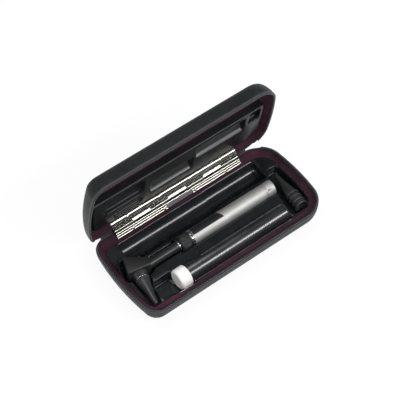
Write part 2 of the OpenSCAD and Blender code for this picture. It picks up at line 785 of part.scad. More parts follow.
// The neck runs from inside the head to the handle tube and carries the collar on its spigot
module otoscope_neck() {
    color(c_black) difference() {
        union() {
            rod(head_x + head_w / 4, neck_ring_x0, neck_d / 2, axis_y, axis_z);
            rod(neck_ring_x0 - past, handle_x0, spigot_d / 2 - running_gap, axis_y, axis_z);
            rod(handle_x0, handle_x0 + plug_t, handle_bore / 2, axis_y, axis_z);
        }
        rod(head_x, lamp_x0 + lamp_l, lamp_d / 2, axis_y, axis_z);
        otoscope_head_solid();
    }
}
module neck_ring() {
    color(c_steel) difference() {
        rod(neck_ring_x0, collar_x0, neck_ring_d / 2, axis_y, axis_z);
        rod(neck_ring_x0 - past, collar_x0 + past, spigot_d / 2 - running_gap, axis_y, axis_z);
    }
}
module otoscope_head_solid() {
    b = head_bevel;
    head_frame() hull() {
        translate([0, 0, -head_h / 2 + b]) linear_extrude(head_h - 2 * b)
            polygon(rounded(head_plan, head_corner_r));
        translate([0, 0, -head_h / 2]) linear_extrude(head_h)
            polygon(rounded(grown(head_plan, -b), head_corner_r));
    }
}
// Head with its nose, and the sight way bored through both
module otoscope_head() {
    sight_r = 5;
    root_r = nose_ring_r + 1.4;
    tip_r = nose_tip_r;
    spigot_l = 9;
    color(c_black) difference() {
        union() {
            otoscope_head_solid();
            nose_turned([[0, -head_bevel], [root_r + 0.8, -head_bevel], [root_r + 0.8, 0],
                [nose_ring_r, nose_l - nose_ring_t * 2], [tip_r, nose_l - nose_ring_t * 2], [tip_r, nose_l],
                [tip_r - 1.4, nose_l + spigot_l], [0, nose_l + spigot_l]]);
        }
        nose_turned([[0, -rear_face_b.y - past], [sight_r, -rear_face_b.y - past], [sight_r, 0],
            [sight_r - 1.2, nose_l + spigot_l + past], [0, nose_l + spigot_l + past]]);
        rod(head_x, lamp_x0, light_way_d / 2, axis_y, axis_z);
        lens_place() translate([0, 0, -6]) cylinder(h = 6 + past, d = lens_pivot_d - 1);
    }
}
module nose_ring() {
    t = nose_ring_t;
    tip_r = nose_tip_r;
    y = nose_l - 2 * t;
    color(c_steel) nose_turned([[tip_r, y], [nose_ring_r, y], [nose_ring_r + t / 2, y + t / 2],
        [nose_ring_r + t / 2, y + 1.3 * t], [nose_ring_r, y + 1.7 * t], [tip_r, y + 1.7 * t]]);
}
module lamp() {
    r = lamp_d / 2;
    color(c_glass) turned([[0, 0], [r * 0.45, 0.4], [r * 0.65, 1.6], [r * 0.65, 4], [r, 4], [r, lamp_l],
        [0, lamp_l]], lamp_x0, axis_y, axis_z);
}
module switch_collar() {
    b = 1;
    r = collar_d / 2;
    groove = 0.8;
    color(c_black) difference() {
        turned([[spigot_d / 2, turn_gap / 2], [r - b, turn_gap / 2], [r, turn_gap / 2 + b],
            [r, collar_l - b - turn_gap / 2], [r - b, collar_l - turn_gap / 2],
            [spigot_d / 2, collar_l - turn_gap / 2]], collar_x0, axis_y, axis_z);
        for (k = [0:collar_ribs - 1])
            translate([collar_x0 + 2, axis_y, axis_z]) rotate([k * 360 / collar_ribs, 0, 0])
                translate([0, -groove / 2, r - 0.55]) cube([collar_l - 4, groove, 2]);
    }
}
cell_room_r = cell_d / 2 + 0.25;
// Tail cap: screws into the tube, with a groove and four notches at the joint
module tail_cap() {
    r = handle_d / 2;
    neck_r = tail_bore / 2 - running_gap;
    l = tail_l;
    color(c_alloy) difference() {
        turned([[0, tail_hollow], [cell_room_r, tail_hollow], [cell_room_r, turn_gap - tail_thread_l],
            [neck_r, turn_gap - tail_thread_l], [neck_r, turn_gap], [r - 0.9, turn_gap], [r - 0.9, 1.5],
            [r, 1.8], [r, l - 1.6], [r - 0.5, l - 0.5], [r - 1.6, l], [0, l]], handle_x1, axis_y, axis_z);
        for (k = [0:3])
            translate([handle_x1 + 1, axis_y, axis_z]) rotate([k * 90 + 38, 0, 0])
                translate([0, -1.2, r - 1.1]) cube([3.2, 2.4, 3]);
    }
}
module tail_spring() {
    cells_end = cell_x(2);
    spring_r = 4.6;
    wire = 0.8;
    color(c_steel) difference() {
        rod(cells_end, handle_x1 + tail_hollow, spring_r, axis_y, axis_z);
        rod(cells_end - past, handle_x1 + tail_hollow - wire, spring_r - wire, axis_y, axis_z);
    }
}
// Hollow speculum from its wide end at 0 to its tip at speculum_l
module speculum_body() {
    r0 = speculum_d / 2;
    r1 = speculum_tip_d / 2;
    w = speculum_wall;
    rotate_extrude() polygon([[r0 - w, 0], [r0 + flange_over, 0], [r0 + flange_over, flange_l], [r0, flange_l],
        [r1, speculum_l], [r1 - w, speculum_l], [r0 - w, flange_l]]);
}
module speculum() {
    color(c_black) head_frame() translate([0, -nose_l - turn_gap, 0]) rotate([90, 0, 0]) speculum_body();
}
// Places on the head's slanted rear face: X along the face, Y up, Z out of it, at the lens pivot
module rear_face() {
    head_frame() translate([rear_face_a.x, rear_face_a.y, 0]) rotate([0, 0, rear_face_angle])
        rotate([90, 0, 0]) mirror([0, 0, 1]) children();
}
// The lens stands on the sight line where that leaves the rear face
sight_at = rear_face_a.x * rear_face_l / (rear_face_a.x - rear_face_b.x);
lens_x0 = sight_at - lens_frame_w / 2;
lens_z1 = lens_frame_h / 2;
module lens_place() {
    rear_face() mirror([0, 0, 1])
        translate([lens_x0 + lens_pivot_inset, lens_z1 - lens_pivot_inset, 0]) children();
}
module lens_frame() {
    plan = box_pts(lens_x0, -lens_frame_h / 2, lens_x0 + lens_frame_w, lens_z1);
    color(c_black) difference() {
        rear_face() mirror([0, 0, 1]) translate([0, 0, lens_stand_off])
            linear_extrude(lens_frame_t) polygon(rounded(plan, 2.6));
        rear_face() mirror([0, 0, 1]) translate([sight_at, 0, -past])
            cylinder(h = lens_frame_t + 3 * past, d = lens_d);
        lens_place() translate([0, 0, -past])
            cylinder(h = lens_frame_t + 3 * past, d = lens_pivot_d + 2 * running_gap);
    }
}
module magnifier_lens() {
    color(c_glass) rear_face() mirror([0, 0, 1]) translate([sight_at, 0, lens_stand_off + 0.3])
        cylinder(h = lens_frame_t - 0.6, d = lens_d);
}
module lens_pivot() {
    color(c_steel) lens_place() union() {
        translate([0, 0, -5]) cylinder(h = 5, d = lens_pivot_d - 1);
        cylinder(h = lens_stand_off + lens_frame_t + 0.2, d = lens_pivot_d);
        translate([0, 0, lens_stand_off + lens_frame_t + 0.2]) cylinder(h = 0.8, d = lens_pivot_d + 1.6);
    }
}

// Storage tube

module storage_tube() {
    r = tube_d / 2;
    w = tube_wall;
    l = tube_x1 - tube_x0;
    color(c_tray) turned([[r - w, 0], [r, 0], [r, l - 3], [r - 0.9, l - 0.9], [r - 3, l], [0, l], [0, l - w],
        [r - w, l - w]], tube_x0, tube_y, tube_z);
}
module storage_tube_cap() {
    r = tube_cap_d / 2;
    bore = tube_d / 2 + cap_bore_gap;
    l = tube_cap_l;
    stop = tube_x0 - tube_cap_x0 - turn_gap;
    color(c_white) turned([[0, 0], [r - 2.4, 0], [r - 0.8, 1.2], [r, 3], [r, l - 1.4], [r - 1, l], [bore, l],
        [bore, stop], [bore - 1.8, stop], [bore - 1.8, cap_floor_t], [0, cap_floor_t]],
        tube_cap_x0, tube_y, tube_z);
}

// Spare specula, nested tip to tail along the well

module spare_speculum(i) {
    color(c_black) translate([spare_x, spare_tip_y, spare_z]) rotate([0, 0, -spare_tilt])
        translate([0, -speculum_l - i * spare_pitch, 0]) rotate([-90, 0, 0]) speculum_body();
}

base_cover();
base_shell();
base_lining();
base_rim();
base_tray();
hinge_leaf_base();
hinge_pin();
hinge_spring();
hinge_rivets_base();
hinge_cover();
lid_cover();
lid_shell();
lid_lining();
lid_rim();
lid_insert();
hinge_leaf_lid();
hinge_rivets_lid();
handle_tube();
handle_label();
handle_end_ring();
batteries();
otoscope_neck();
neck_ring();
otoscope_head();
nose_ring();
lamp();
lens_pivot();
switch_collar();
tail_cap();
tail_spring();
speculum();
lens_frame();
magnifier_lens();
storage_tube();
storage_tube_cap();
spare_speculum(0);  // spare_speculum_1
spare_speculum(1);  // spare_speculum_2
spare_speculum(2);  // spare_speculum_3
spare_speculum(3);  // spare_speculum_4
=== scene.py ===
"""Looks of the otoscope carry case: leatherette clamshell, velour linings, formed trays,
sprung hinge, pocket otoscope, storage tube and spare specula. Meshes are made in millimetres
and brought to metres as each piece is finished."""
import math

import bmesh
import bpy
from mathutils import Matrix, Vector, noise


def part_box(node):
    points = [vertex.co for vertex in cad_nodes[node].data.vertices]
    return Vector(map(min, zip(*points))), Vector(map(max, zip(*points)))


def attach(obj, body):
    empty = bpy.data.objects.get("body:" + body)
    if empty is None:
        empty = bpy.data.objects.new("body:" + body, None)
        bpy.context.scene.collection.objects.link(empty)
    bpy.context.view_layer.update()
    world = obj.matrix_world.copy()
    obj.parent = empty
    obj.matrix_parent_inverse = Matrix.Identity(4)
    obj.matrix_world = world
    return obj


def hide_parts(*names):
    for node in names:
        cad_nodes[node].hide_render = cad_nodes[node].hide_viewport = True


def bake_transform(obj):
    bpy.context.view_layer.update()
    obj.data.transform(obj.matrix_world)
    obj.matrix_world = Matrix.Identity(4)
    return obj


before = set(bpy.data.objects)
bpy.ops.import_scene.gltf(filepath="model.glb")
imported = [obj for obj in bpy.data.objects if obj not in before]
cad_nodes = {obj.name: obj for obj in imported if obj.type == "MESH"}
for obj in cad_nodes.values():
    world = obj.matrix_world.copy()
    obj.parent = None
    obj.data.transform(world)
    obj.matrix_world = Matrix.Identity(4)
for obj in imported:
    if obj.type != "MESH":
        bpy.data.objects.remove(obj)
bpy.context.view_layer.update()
MM = 0.001
X, Y, Z = Vector((1, 0, 0)), Vector((0, 1, 0)), Vector((0, 0, 1))

# Sizes, as the frame has them

CASE_L, CASE_W, BASE_H, LID_H = 256.0, 120.0, 25.0, 21.0
CORNER_LEFT, CORNER_RIGHT, END_BOW = 16.0, 27.0, 6.5
BASE_CURVE, LID_CURVE = 14.0, 8.0
LIP_GAP, BINDING_H = 0.4, 1.6
LINING_IN, INNER_IN = 2.2, 3.4
HINGE_Y, HINGE_Z, HINGE_X0, HINGE_L = 57.2, 25.0, -92.0, 176.0
OPEN_ANGLE = 81.0
KNUCKLES, KNUCKLE_R, LEAF_T = 7, 2.06, 0.8
BASE_LEAF_TILT, LID_LEAF_TILT = 36.0, 31.0
# The padding rises to the leaves over this length, beyond each end of the hinge
HINGE_EASE = 6.0
REAR_CUT = 3.36
REAR_CUT_Y = HINGE_Y - REAR_CUT
TRAY_Z, SHEET_T = 18.0, 0.9
TRAY_END, TRAY_SIDE = 10.4, 14.2
AXIS_Y, AXIS_Z = 2.4, 18.0
HANDLE_X0, HANDLE_X1, HANDLE_R = -25.0, 78.0, 9.2
NECK_X0, NECK_RING_X0, COLLAR_X0 = -88.6, -45.0, -42.6
HEAD_X, HEAD_Y, HEAD_TILT = -100.7, -2.8, 10.0
NOSE_L, SPECULUM_L, SPECULUM_R, SPECULUM_TIP_R = 7.7, 34.2, 7.8, 2.2
TUBE_Y, TUBE_X0 = -34.0, -64.0
CAP_X0 = -73.0
# The pocket of the tube's cap, which presses the front padding out
POCKET_X0, POCKET_X1, POCKET_R = -82.6, -57.0, 14.2
POCKET_MIDDLE, POCKET_HALF_L, POCKET_HALF_W = -69.8, 12.3, 13.7
# Points closer than this are one
MERGE = 0.0005

# Camera

camera = bpy.data.objects.new("camera", bpy.data.cameras.new("camera"))
bpy.context.scene.collection.objects.link(camera)
bpy.context.scene.camera = camera
eye, aim = Vector((-568.7, -723.8, 1349.0)) * MM, Vector((0.41, 19.58, 49.78)) * MM
camera.location = eye
camera.rotation_euler = (aim - eye).to_track_quat("-Z", "Y").to_euler()
camera.data.sensor_width = 36
camera.data.lens = 128.7
camera.data.clip_end = 20

# Materials


def node_in(tree, kind, **settings):
    made = tree.nodes.new("ShaderNode" + kind)
    for key, value in settings.items():
        setattr(made, key, value)
    return made


def shiny_rays(tree, light):
    """Socket that is 1 for the rays of a light path that gloss or glass sends out."""
    either = node_in(tree, "Math", operation="MAXIMUM")
    tree.links.new(light.outputs["Is Glossy Ray"], either.inputs[0])
    tree.links.new(light.outputs["Is Transmission Ray"], either.inputs[1])
    return either.outputs[0]


class Finish:
    """A material under way: its node tree, and short ways to add to it."""

    def __init__(self, name, **sockets):
        self.material = bpy.data.materials.new(name)
        self.material.use_nodes = True
        self.tree = self.material.node_tree
        self.shader = self.tree.nodes["Principled BSDF"]
        for socket, value in sockets.items():
            self.shader.inputs[socket.replace("_", " ")].default_value = value
        self.place = self.node("TexCoord").outputs["Object"]

    def node(self, kind, **settings):
        return node_in(self.tree, kind, **settings)

    def join(self, source, target):
        self.tree.links.new(source, target)

    def stretched(self, scale):
        """Object coordinates drawn out along an axis, for brushed or pulled surfaces."""
        mapping = self.node("Mapping")
        mapping.inputs["Scale"].default_value = scale
        self.join(self.place, mapping.inputs["Vector"])
        return mapping.outputs["Vector"]

    def grain(self, scale, detail=3.0, roughness=0.5, along=None):
        tex = self.node("TexNoise")
        tex.inputs["Scale"].default_value = scale
        tex.inputs["Detail"].default_value = detail
        tex.inputs["Roughness"].default_value = roughness
        self.join(along or self.place, tex.inputs["Vector"])
        return tex.outputs["Fac"]

    def cells(self, scale, feature="DISTANCE_TO_EDGE"):
        tex = self.node("TexVoronoi", feature=feature)
        tex.inputs["Scale"].default_value = scale
        self.join(self.place, tex.inputs["Vector"])
        return tex.outputs["Distance"]

    def spread(self, value, low, high, to_low=0.0, to_high=1.0):
        ranged = self.node("MapRange")
        ends = {"From Min": low, "From Max": high, "To Min": to_low, "To Max": to_high}
        for socket, number in ends.items():
            ranged.inputs[socket].default_value = number
        self.join(value, ranged.inputs["Value"])
        return ranged.outputs["Result"]

    def between(self, amount, first, second):
        """A colour between two, by a value; either colour may itself be a socket."""
        mix = self.node("Mix", data_type="RGBA")
        self.join(amount, mix.inputs["Factor"])
        for socket, colour in ((mix.inputs[6], first), (mix.inputs[7], second)):
            if isinstance(colour, tuple):
                socket.default_value = (*colour, 1)
            else:
                self.join(colour, socket)
        return mix.outputs[2]

    def sum(self, first, second, share=1.0):
        maths = self.node("Math", operation="MULTIPLY_ADD")
        self.join(second, maths.inputs[0])
        maths.inputs[1].default_value = share
        self.join(first, maths.inputs[2])
        return maths.outputs[0]

    def colour(self, socket):
        self.join(socket, self.shader.inputs["Base Color"])

    def rough(self, socket):
        self.join(socket, self.shader.inputs["Roughness"])

    def bump(self, height, depth_mm, strength=1.0):
        bump = self.node("Bump")
        bump.inputs["Distance"].default_value = depth_mm * MM
        bump.inputs["Strength"].default_value = strength
        self.join(height, bump.inputs["Height"])
        self.join(bump.outputs["Normal"], self.shader.inputs["Normal"])

    def wear_and_sheen(self, low=0.52, high=0.6):
        """Where the surface stands out most, as along an edge: the mask for rubbed wear and for a painted
        sheen.
        """
        return self.spread(self.node("NewGeometry").outputs["Pointiness"], low, high)


def leatherette():
    f = Finish("leatherette", Sheen_Weight=0.02, Sheen_Roughness=0.35, Specular_IOR_Level=0.3)
    pores = f.cells(760)
    creases = f.grain(420, 4, 0.6)
    shade = f.grain(34, 3)
    low, high = (0.0035, 0.0052, 0.0057), (0.0075, 0.0098, 0.0105)
    tone = f.between(f.spread(shade, 0.35, 0.7), low, high)
    tone = f.between(f.spread(pores, 0.0, 0.12, 0.35, 0.0), tone, (0.006, 0.007, 0.008))
    # Edges and corners lighter: partly rubbed wear, partly a painted sheen.
    f.colour(f.between(f.wear_and_sheen(0.515, 0.6), tone, (0.055, 0.062, 0.064)))
    f.rough(f.sum(f.spread(shade, 0.3, 0.7, 0.36, 0.46), creases, 0.14))
    f.bump(f.sum(f.spread(pores, 0.0, 0.25), creases, 0.6), 0.26, 0.8)
    return f.material


def velour():
    f = Finish("velour", Sheen_Weight=0.55, Sheen_Roughness=0.42, Specular_IOR_Level=0.12,
               Sheen_Tint=(0.34, 0.17, 0.24, 1))
    fibres = f.grain(2600, 2)
    nap = f.grain(70, 4, 0.62, f.stretched((0.45, 1, 1)))
    patch = f.grain(18, 2)
    tone = f.between(f.spread(nap, 0.32, 0.7), (0.021, 0.0078, 0.0125), (0.056, 0.021, 0.033))
    tone = f.between(f.spread(fibres, 0.3, 0.75, 0.0, 0.5), tone, (0.052, 0.026, 0.036))
    f.colour(f.between(f.spread(patch, 0.3, 0.7, 0.0, 0.3), tone, (0.010, 0.0045, 0.007)))
    f.rough(f.spread(nap, 0.3, 0.7, 0.82, 0.96))
    f.bump(f.sum(fibres, nap, 0.9), 0.22, 0.6)
    return f.material


def tray_plastic(name="tray_plastic", roughness=(0.13, 0.24), dark=(0.0085, 0.0095, 0.0105)):
    f = Finish(name, Coat_Weight=0.12, Coat_Roughness=0.1, Specular_IOR_Level=0.36)
    wave = f.grain(46, 2)
    scuffs = f.grain(300, 5, 0.7, f.stretched((0.12, 1, 1)))
    dust = f.cells(500, "F1")
    tone = f.between(f.spread(wave, 0.3, 0.7), dark, tuple(c * 1.7 for c in dark))
    f.colour(f.between(f.spread(dust, 0.0, 0.09, 0.16, 0.0), tone, (0.10, 0.10, 0.10)))
    f.rough(f.sum(f.spread(scuffs, 0.3, 0.75, *roughness), dust, 0.05))
    f.bump(f.sum(wave, scuffs, 0.02), 0.3, 0.3)
    return f.material


def bright_steel(name="bright_steel", along=(0.02, 1, 1), rough=(0.08, 0.15), tone=(0.34, 0.335, 0.31)):
    f = Finish(name, Metallic=1.0)
    brushed = f.grain(900, 3, 0.6, f.stretched(along))
    stain = f.grain(60, 3)
    f.colour(f.between(f.spread(stain, 0.35, 0.75), tone, tuple(c * 0.82 for c in tone)))
    f.rough(f.sum(f.spread(brushed, 0.3, 0.7, *rough), stain, 0.06))
    f.bump(stain, 0.02, 0.15)
    return f.material


def satin_alloy():
    f = Finish("satin_alloy", Metallic=1.0)
    turned = f.grain(1500, 3, 0.65, f.stretched((1, 0.1, 0.1)))
    film = f.grain(42, 3)
    tone = f.between(f.spread(film, 0.3, 0.72), (0.62, 0.62, 0.60), (0.72, 0.715, 0.70))
    f.colour(f.between(f.spread(turned, 0.35, 0.8, 0.0, 0.35), tone, (0.48, 0.48, 0.48)))
    f.rough(f.sum(f.spread(turned, 0.3, 0.7, 0.58, 0.68), film, 0.06))
    f.bump(turned, 0.03, 0.35)
    return f.material


def moulded(name, dark, light, rough, specular=0.5, depth=0.04):
    """Moulded plastic: fine spark texture, faint flow marks, and edges lighter, partly as rubbed wear and
    partly as a painted highlight.
    """
    f = Finish(name, Specular_IOR_Level=specular)
    spark = f.grain(700, 4, 0.6)
    flow = f.grain(55, 3, 0.5, f.stretched((0.5, 1, 1)))
    tone = f.between(f.spread(flow, 0.3, 0.72), dark, light)
    # Edges lighter: partly rubbed wear, partly a painted highlight.
    f.colour(f.between(f.wear_and_sheen(0.53, 0.64), tone, tuple(min(1.0, c * 1.9) for c in light)))
    f.rough(f.sum(f.spread(flow, 0.3, 0.7, *rough), spark, 0.08))
    f.bump(f.sum(spark, flow, 0.4), depth, 0.5)
    return f.material


def clear_glass(name, tint):
    f = Finish(name, Transmission_Weight=1.0, IOR=1.5)
    smear = f.grain(120, 3)
    f.colour(f.between(f.spread(smear, 0.35, 0.8), tint, tuple(c * 0.93 for c in tint)))
    f.rough(f.spread(smear, 0.4, 0.8, 0.02, 0.07))
    return f.material


def thread():
    f = Finish("thread", Sheen_Weight=0.3, Sheen_Roughness=0.5, Specular_IOR_Level=0.3)
    twist = f.grain(2200, 2)
    f.colour(f.between(f.spread(twist, 0.3, 0.7), (0.075, 0.08, 0.085), (0.16, 0.165, 0.17)))
    f.rough(f.spread(twist, 0.3, 0.7, 0.5, 0.7))
    f.bump(twist, 0.05, 0.6)
    return f.material


LEATHER, VELOUR, TRAY = leatherette(), velour(), tray_plastic()
INSERT = tray_plastic("insert_plastic", (0.3, 0.4), (0.006, 0.0068, 0.0074))
STEEL, ALLOY, THREAD = bright_steel(along=(0.35, 1, 1)), satin_alloy(), thread()
CHROME = bright_steel("bright_chrome", (1, 0.05, 0.05), (0.05, 0.12), (0.86, 0.86, 0.85))
RIVET_STEEL = bright_steel("rivet_steel", (1, 1, 1), (0.12, 0.26), (0.7, 0.7, 0.68))
SPRING = bright_steel("spring_steel", (0.05, 1, 1), (0.22, 0.36), (0.46, 0.46, 0.47))
BLACK = moulded("black_plastic", (0.0105, 0.0108, 0.0115), (0.018, 0.0185, 0.0195), (0.3, 0.4))
COLLAR = moulded("collar_plastic", (0.007, 0.007, 0.0075), (0.013, 0.013, 0.014), (0.36, 0.48))
CONE = moulded("speculum_plastic", (0.019, 0.0195, 0.0205), (0.031, 0.0315, 0.033), (0.26, 0.36))
LABEL = moulded("label_film", (0.010, 0.010, 0.012), (0.0155, 0.0155, 0.018), (0.3, 0.38), depth=0.015)
TUBE = moulded("tube_plastic", (0.0095, 0.0105, 0.0115), (0.015, 0.0165, 0.0175), (0.2, 0.26),
               specular=1.0, depth=0.004)
WHITE = moulded("white_plastic", (0.74, 0.74, 0.715), (0.80, 0.80, 0.78), (0.38, 0.5), depth=0.05)
SHELL = moulded("shell_board", (0.02, 0.02, 0.021), (0.03, 0.03, 0.032), (0.6, 0.75))
CELL = moulded("cell_wrap", (0.06, 0.062, 0.066), (0.10, 0.10, 0.105), (0.35, 0.45))
LAMP_GLASS = clear_glass("lamp_glass", (0.95, 0.96, 0.96))
LENS_GLASS = clear_glass("lens_glass", (0.93, 0.97, 0.97))

# Ways to make a piece


def object_of(bm, name):
    mesh = bpy.data.meshes.new(name)
    bm.to_mesh(mesh)
    bm.free()
    made = bpy.data.objects.new(name, mesh)
    bpy.context.scene.collection.objects.link(made)
    return made


def join_into(bm, other):
    """Adds one bmesh to another and frees it."""
    mesh = bpy.data.meshes.new("joined")
    other.to_mesh(mesh)
    other.free()
    bm.from_mesh(mesh)
    bpy.data.meshes.remove(mesh)


def piece(name, bm, body, material, replaces=(), sharp=38.0, turn_out=True, bevel=None,
          sheet=None):
    """The bmesh, in millimetres, becomes a finished piece that rides on a body. Edges past the
    sharp angle stay sharp; bevel rounds them and sheet gives an open surface its thickness."""
    bmesh.ops.remove_doubles(bm, verts=bm.verts, dist=MERGE)
    if turn_out:
        bmesh.ops.recalc_face_normals(bm, faces=bm.faces)
    bmesh.ops.scale(bm, vec=(MM, MM, MM), verts=bm.verts)
    for face in bm.faces:
        face.smooth = True
    for edge in bm.edges:
        edge.smooth = len(edge.link_faces) == 2 and edge.calc_face_angle(0) < math.radians(sharp)
    made = object_of(bm, name)
    made.data.materials.append(material)
    if bevel:
        rounding = made.modifiers.new("rounding", "BEVEL")
        rounding.width, rounding.segments = bevel * MM, 3
        rounding.limit_method, rounding.angle_limit = "ANGLE", math.radians(sharp)
        rounding.harden_normals = True
    if sheet:
        wall = made.modifiers.new("wall", "SOLIDIFY")
        wall.thickness, wall.offset, wall.use_even_offset = sheet * MM, -1, False
    if body:
        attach(made, body)
    if replaces:
        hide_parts(*replaces)
    return made


def loop_of(bm, points):
    """A closed loop of edges through the points."""
    verts = [bm.verts.new(p) for p in points]
    for a, b in zip(verts, verts[1:] + verts[:1]):
        bm.edges.new((a, b))
    return verts


def carried_on(bm, verts, points):
    """The loop is extruded, and the new loop is moved to the points."""
    edges = [bm.edges.get((a, b)) for a, b in zip(verts, verts[1:] + verts[:1])]
    made = bmesh.ops.extrude_edge_only(bm, edges=edges)["geom"]
    fresh = {v for v in made if isinstance(v, bmesh.types.BMVert)}
    moved = [next(e.other_vert(v) for e in v.link_edges if e.other_vert(v) in fresh) for v in verts]
    for v, p in zip(moved, points):
        v.co = p
    return moved


def run_of_loops(loops, capped=True, closed=False):
    """A skin over a run of loops, each a list of points, with its ends filled or joined."""
    bm = bmesh.new()
    first = verts = loop_of(bm, loops[0])
    for points in loops[1:]:
        verts = carried_on(bm, verts, points)
    if closed:
        verts = carried_on(bm, verts, [v.co.copy() for v in first])
        bmesh.ops.remove_doubles(bm, verts=first + verts, dist=MERGE)
    elif capped:
        bmesh.ops.contextual_create(bm, geom=first)
        bmesh.ops.contextual_create(bm, geom=verts)
    return bm


def spun(profile, steps=72):
    """A closed or open profile of (radius, distance) pairs spun about X, from the origin."""
    bm = bmesh.new()
    verts = [bm.verts.new((along, 0, radius)) for radius, along in profile]
    edges = [bm.edges.new(pair) for pair in zip(verts, verts[1:])]
    if profile[0][0] > 0.001 and profile[-1][0] > 0.001:
        edges.append(bm.edges.new((verts[-1], verts[0])))
    bmesh.ops.spin(bm, geom=verts + edges, cent=(0, 0, 0), axis=X, dvec=(0, 0, 0), steps=steps,
                   angle=2 * math.pi, use_merge=True, use_normal_flip=False, use_duplicate=False)
    bmesh.ops.remove_doubles(bm, verts=bm.verts, dist=MERGE)
    bmesh.ops.recalc_face_normals(bm, faces=bm.faces)
    return bm


def softened(profile, radius, steps=3):
    """The profile with its inner corners rounded off by up to the radius."""
    points = [Vector(p) for p in profile]
    out = [tuple(points[0])]
    for before, corner, after in zip(points, points[1:], points[2:]):
        r = min(radius, (before - corner).length * 0.45, (after - corner).length * 0.45)
        a = corner + (before - corner).normalized() * r
        b = corner + (after - corner).normalized() * r
        out += [tuple(a.lerp(corner, k / steps).lerp(corner.lerp(b, k / steps), k / steps))
                for k in range(steps + 1)]
    return out + [tuple(points[-1])]


def moved(bm, matrix):
    bmesh.ops.transform(bm, matrix=matrix, verts=bm.verts)
    return bm


def along_x(bm, x0, y, z):
    return moved(bm, Matrix.Translation((x0, y, z)))


HEAD_FRAME = Matrix.Translation((HEAD_X, HEAD_Y, AXIS_Z)) @ Matrix.Rotation(math.radians(-HEAD_TILT), 4, "Z")
# Turned profiles run along X; on the nose they run out along the head's -Y
NOSE_FRAME = HEAD_FRAME @ Matrix.Rotation(math.radians(-90), 4, "Z")
OPENED = (Matrix.Translation((0, HINGE_Y, HINGE_Z)) @ Matrix.Rotation(math.radians(-OPEN_ANGLE), 4, "X")
          @ Matrix.Translation((0, -HINGE_Y, -HINGE_Z)))
SHUT_LID = Matrix.Translation((0, 0, BASE_H + LID_H)) @ Matrix.Scale(-1, 4, Z)
LID_PLACE = OPENED @ SHUT_LID

# Outline of the case

CORNER_STEPS, END_STEPS, SIDE_STEPS = 14, 8, 20
LEAST_CORNER = 5.0


def outline(inset_x, inset_y):
    """Plan outline drawn in at the ends and sides, anticlockwise from the right end's rear corner."""

    def corner(sx, sy, radius, first_angle):
        r = max(radius - (inset_x + inset_y) / 2, LEAST_CORNER)
        turns = [math.radians(first_angle + 90 * k / CORNER_STEPS) for k in range(CORNER_STEPS + 1)]
        return [(sx * (CASE_L / 2 - inset_x - r) + r * math.cos(a),
                 sy * (CASE_W / 2 - inset_y - r) + r * math.sin(a)) for a in turns]

    corners = [corner(1, 1, CORNER_RIGHT, 0), corner(-1, 1, CORNER_LEFT, 90),
               corner(-1, -1, CORNER_LEFT, 180), corner(1, -1, CORNER_RIGHT, 270)]
    points = []
    for k, steps in enumerate((SIDE_STEPS, END_STEPS, SIDE_STEPS, END_STEPS)):
        points += corners[k]
        start, end = Vector(corners[k][-1]), Vector(corners[(k + 1) % 4][0])
        points += [tuple(start.lerp(end, t / steps)) for t in range(1, steps)]
    return [(x * bowed(y), y) for x, y in points]


def bowed(y):
    """Share of its full length that the case has at y, because its ends bow out."""
    return 1 - END_BOW / (CASE_L / 2) * (y / (CASE_W / 2)) ** 2


def case_ring(inset_x, inset_y, z):
    return [Vector((x, y, z)) for x, y in outline(inset_x, inset_y)]


def wall_ring(depth, curve, top, angle):
    """Ring of a curved wall, depth in from the outer face; 90 degrees is the floor and 0 the lip."""
    a = math.radians(angle)
    inset = depth + curve * (1 - math.cos(a))
    return case_ring(inset, inset, depth + (top - depth) * (1 - math.sin(a)))


def rear_dip(ring, height):
    """The wall stops short of the hinge at the rear of a half that lies open side up."""
    for p in ring:
        if p.y > REAR_CUT_Y:
            p.z = min(p.z, height - REAR_CUT)
    return ring


# Leatherette coverings

COVER_T = 0.95
STITCH_HALF = (1.25, 0.42, 0.26)


def covering(name, height, curve, body, place):
    """Leatherette drawn over the shell: a curved wall, a soft heel and a flat outside."""
    top = height - LIP_GAP / 2 - BINDING_H
    outer = [wall_ring(0, curve, top, a) for a in range(0, 91, 5)]
    outer += [case_ring(curve + d, curve + d, 0) for d in (4, 12)]
    bm = run_of_loops([rear_dip(r, height) for r in outer], capped=False)
    last = [v for v in bm.verts if v.is_boundary and v.co.z < 0.5]
    bmesh.ops.contextual_create(bm, geom=last)
    bmesh.ops.recalc_face_normals(bm, faces=bm.faces)
    # The open loft may come out either way round: its floor has to face down
    bm.faces.ensure_lookup_table()
    floor = max(bm.faces, key=lambda f: f.calc_area())
    if floor.normal.z > 0:
        bmesh.ops.reverse_faces(bm, faces=bm.faces)
    bmesh.ops.solidify(bm, geom=bm.faces[:], thickness=COVER_T)
    node = name.replace("_leather", "_cover")
    return piece(name, moved(bm, place), body, LEATHER, (node,))


covering("base_leather", BASE_H, BASE_CURVE, "base", Matrix.Identity(4))
covering("lid_leather", LID_H, LID_CURVE, "lid", LID_PLACE)


def front_run(ring, stop_y):
    """Places in a ring of its points in front of stop_y, as one run."""
    count = len(ring)
    inside = [p.y < stop_y for p in ring]
    start = next(k for k in range(count) if inside[k] and not inside[k - 1])
    return [(start + k) % count for k in range(count) if inside[(start + k) % count]]


def bound_edge(name, height, body, place, node):
    """Rolled and bound edge that runs round a lip and ends at the hinge."""
    top = height - LIP_GAP / 2
    # Distance in from the outer face, and depth below the lip, of a cross-section with a stitch furrow
    section = [(0.0, BINDING_H), (0.0, 0.75), (0.14, 0.34), (0.5, 0.06), (0.95, 0), (1.6, 0.1), (2.3, 0.04),
               (2.8, 0.12), (3.22, 0.42), (3.4, 0.8), (3.4, BINDING_H)]
    rings = [case_ring(inward, inward, top - down) for inward, down in section]
    bm = run_of_loops([[ring[k] for ring in rings] for k in front_run(rings[0], REAR_CUT_Y)])
    return piece(name, moved(bm, place), body, LEATHER, (node,), sharp=60)


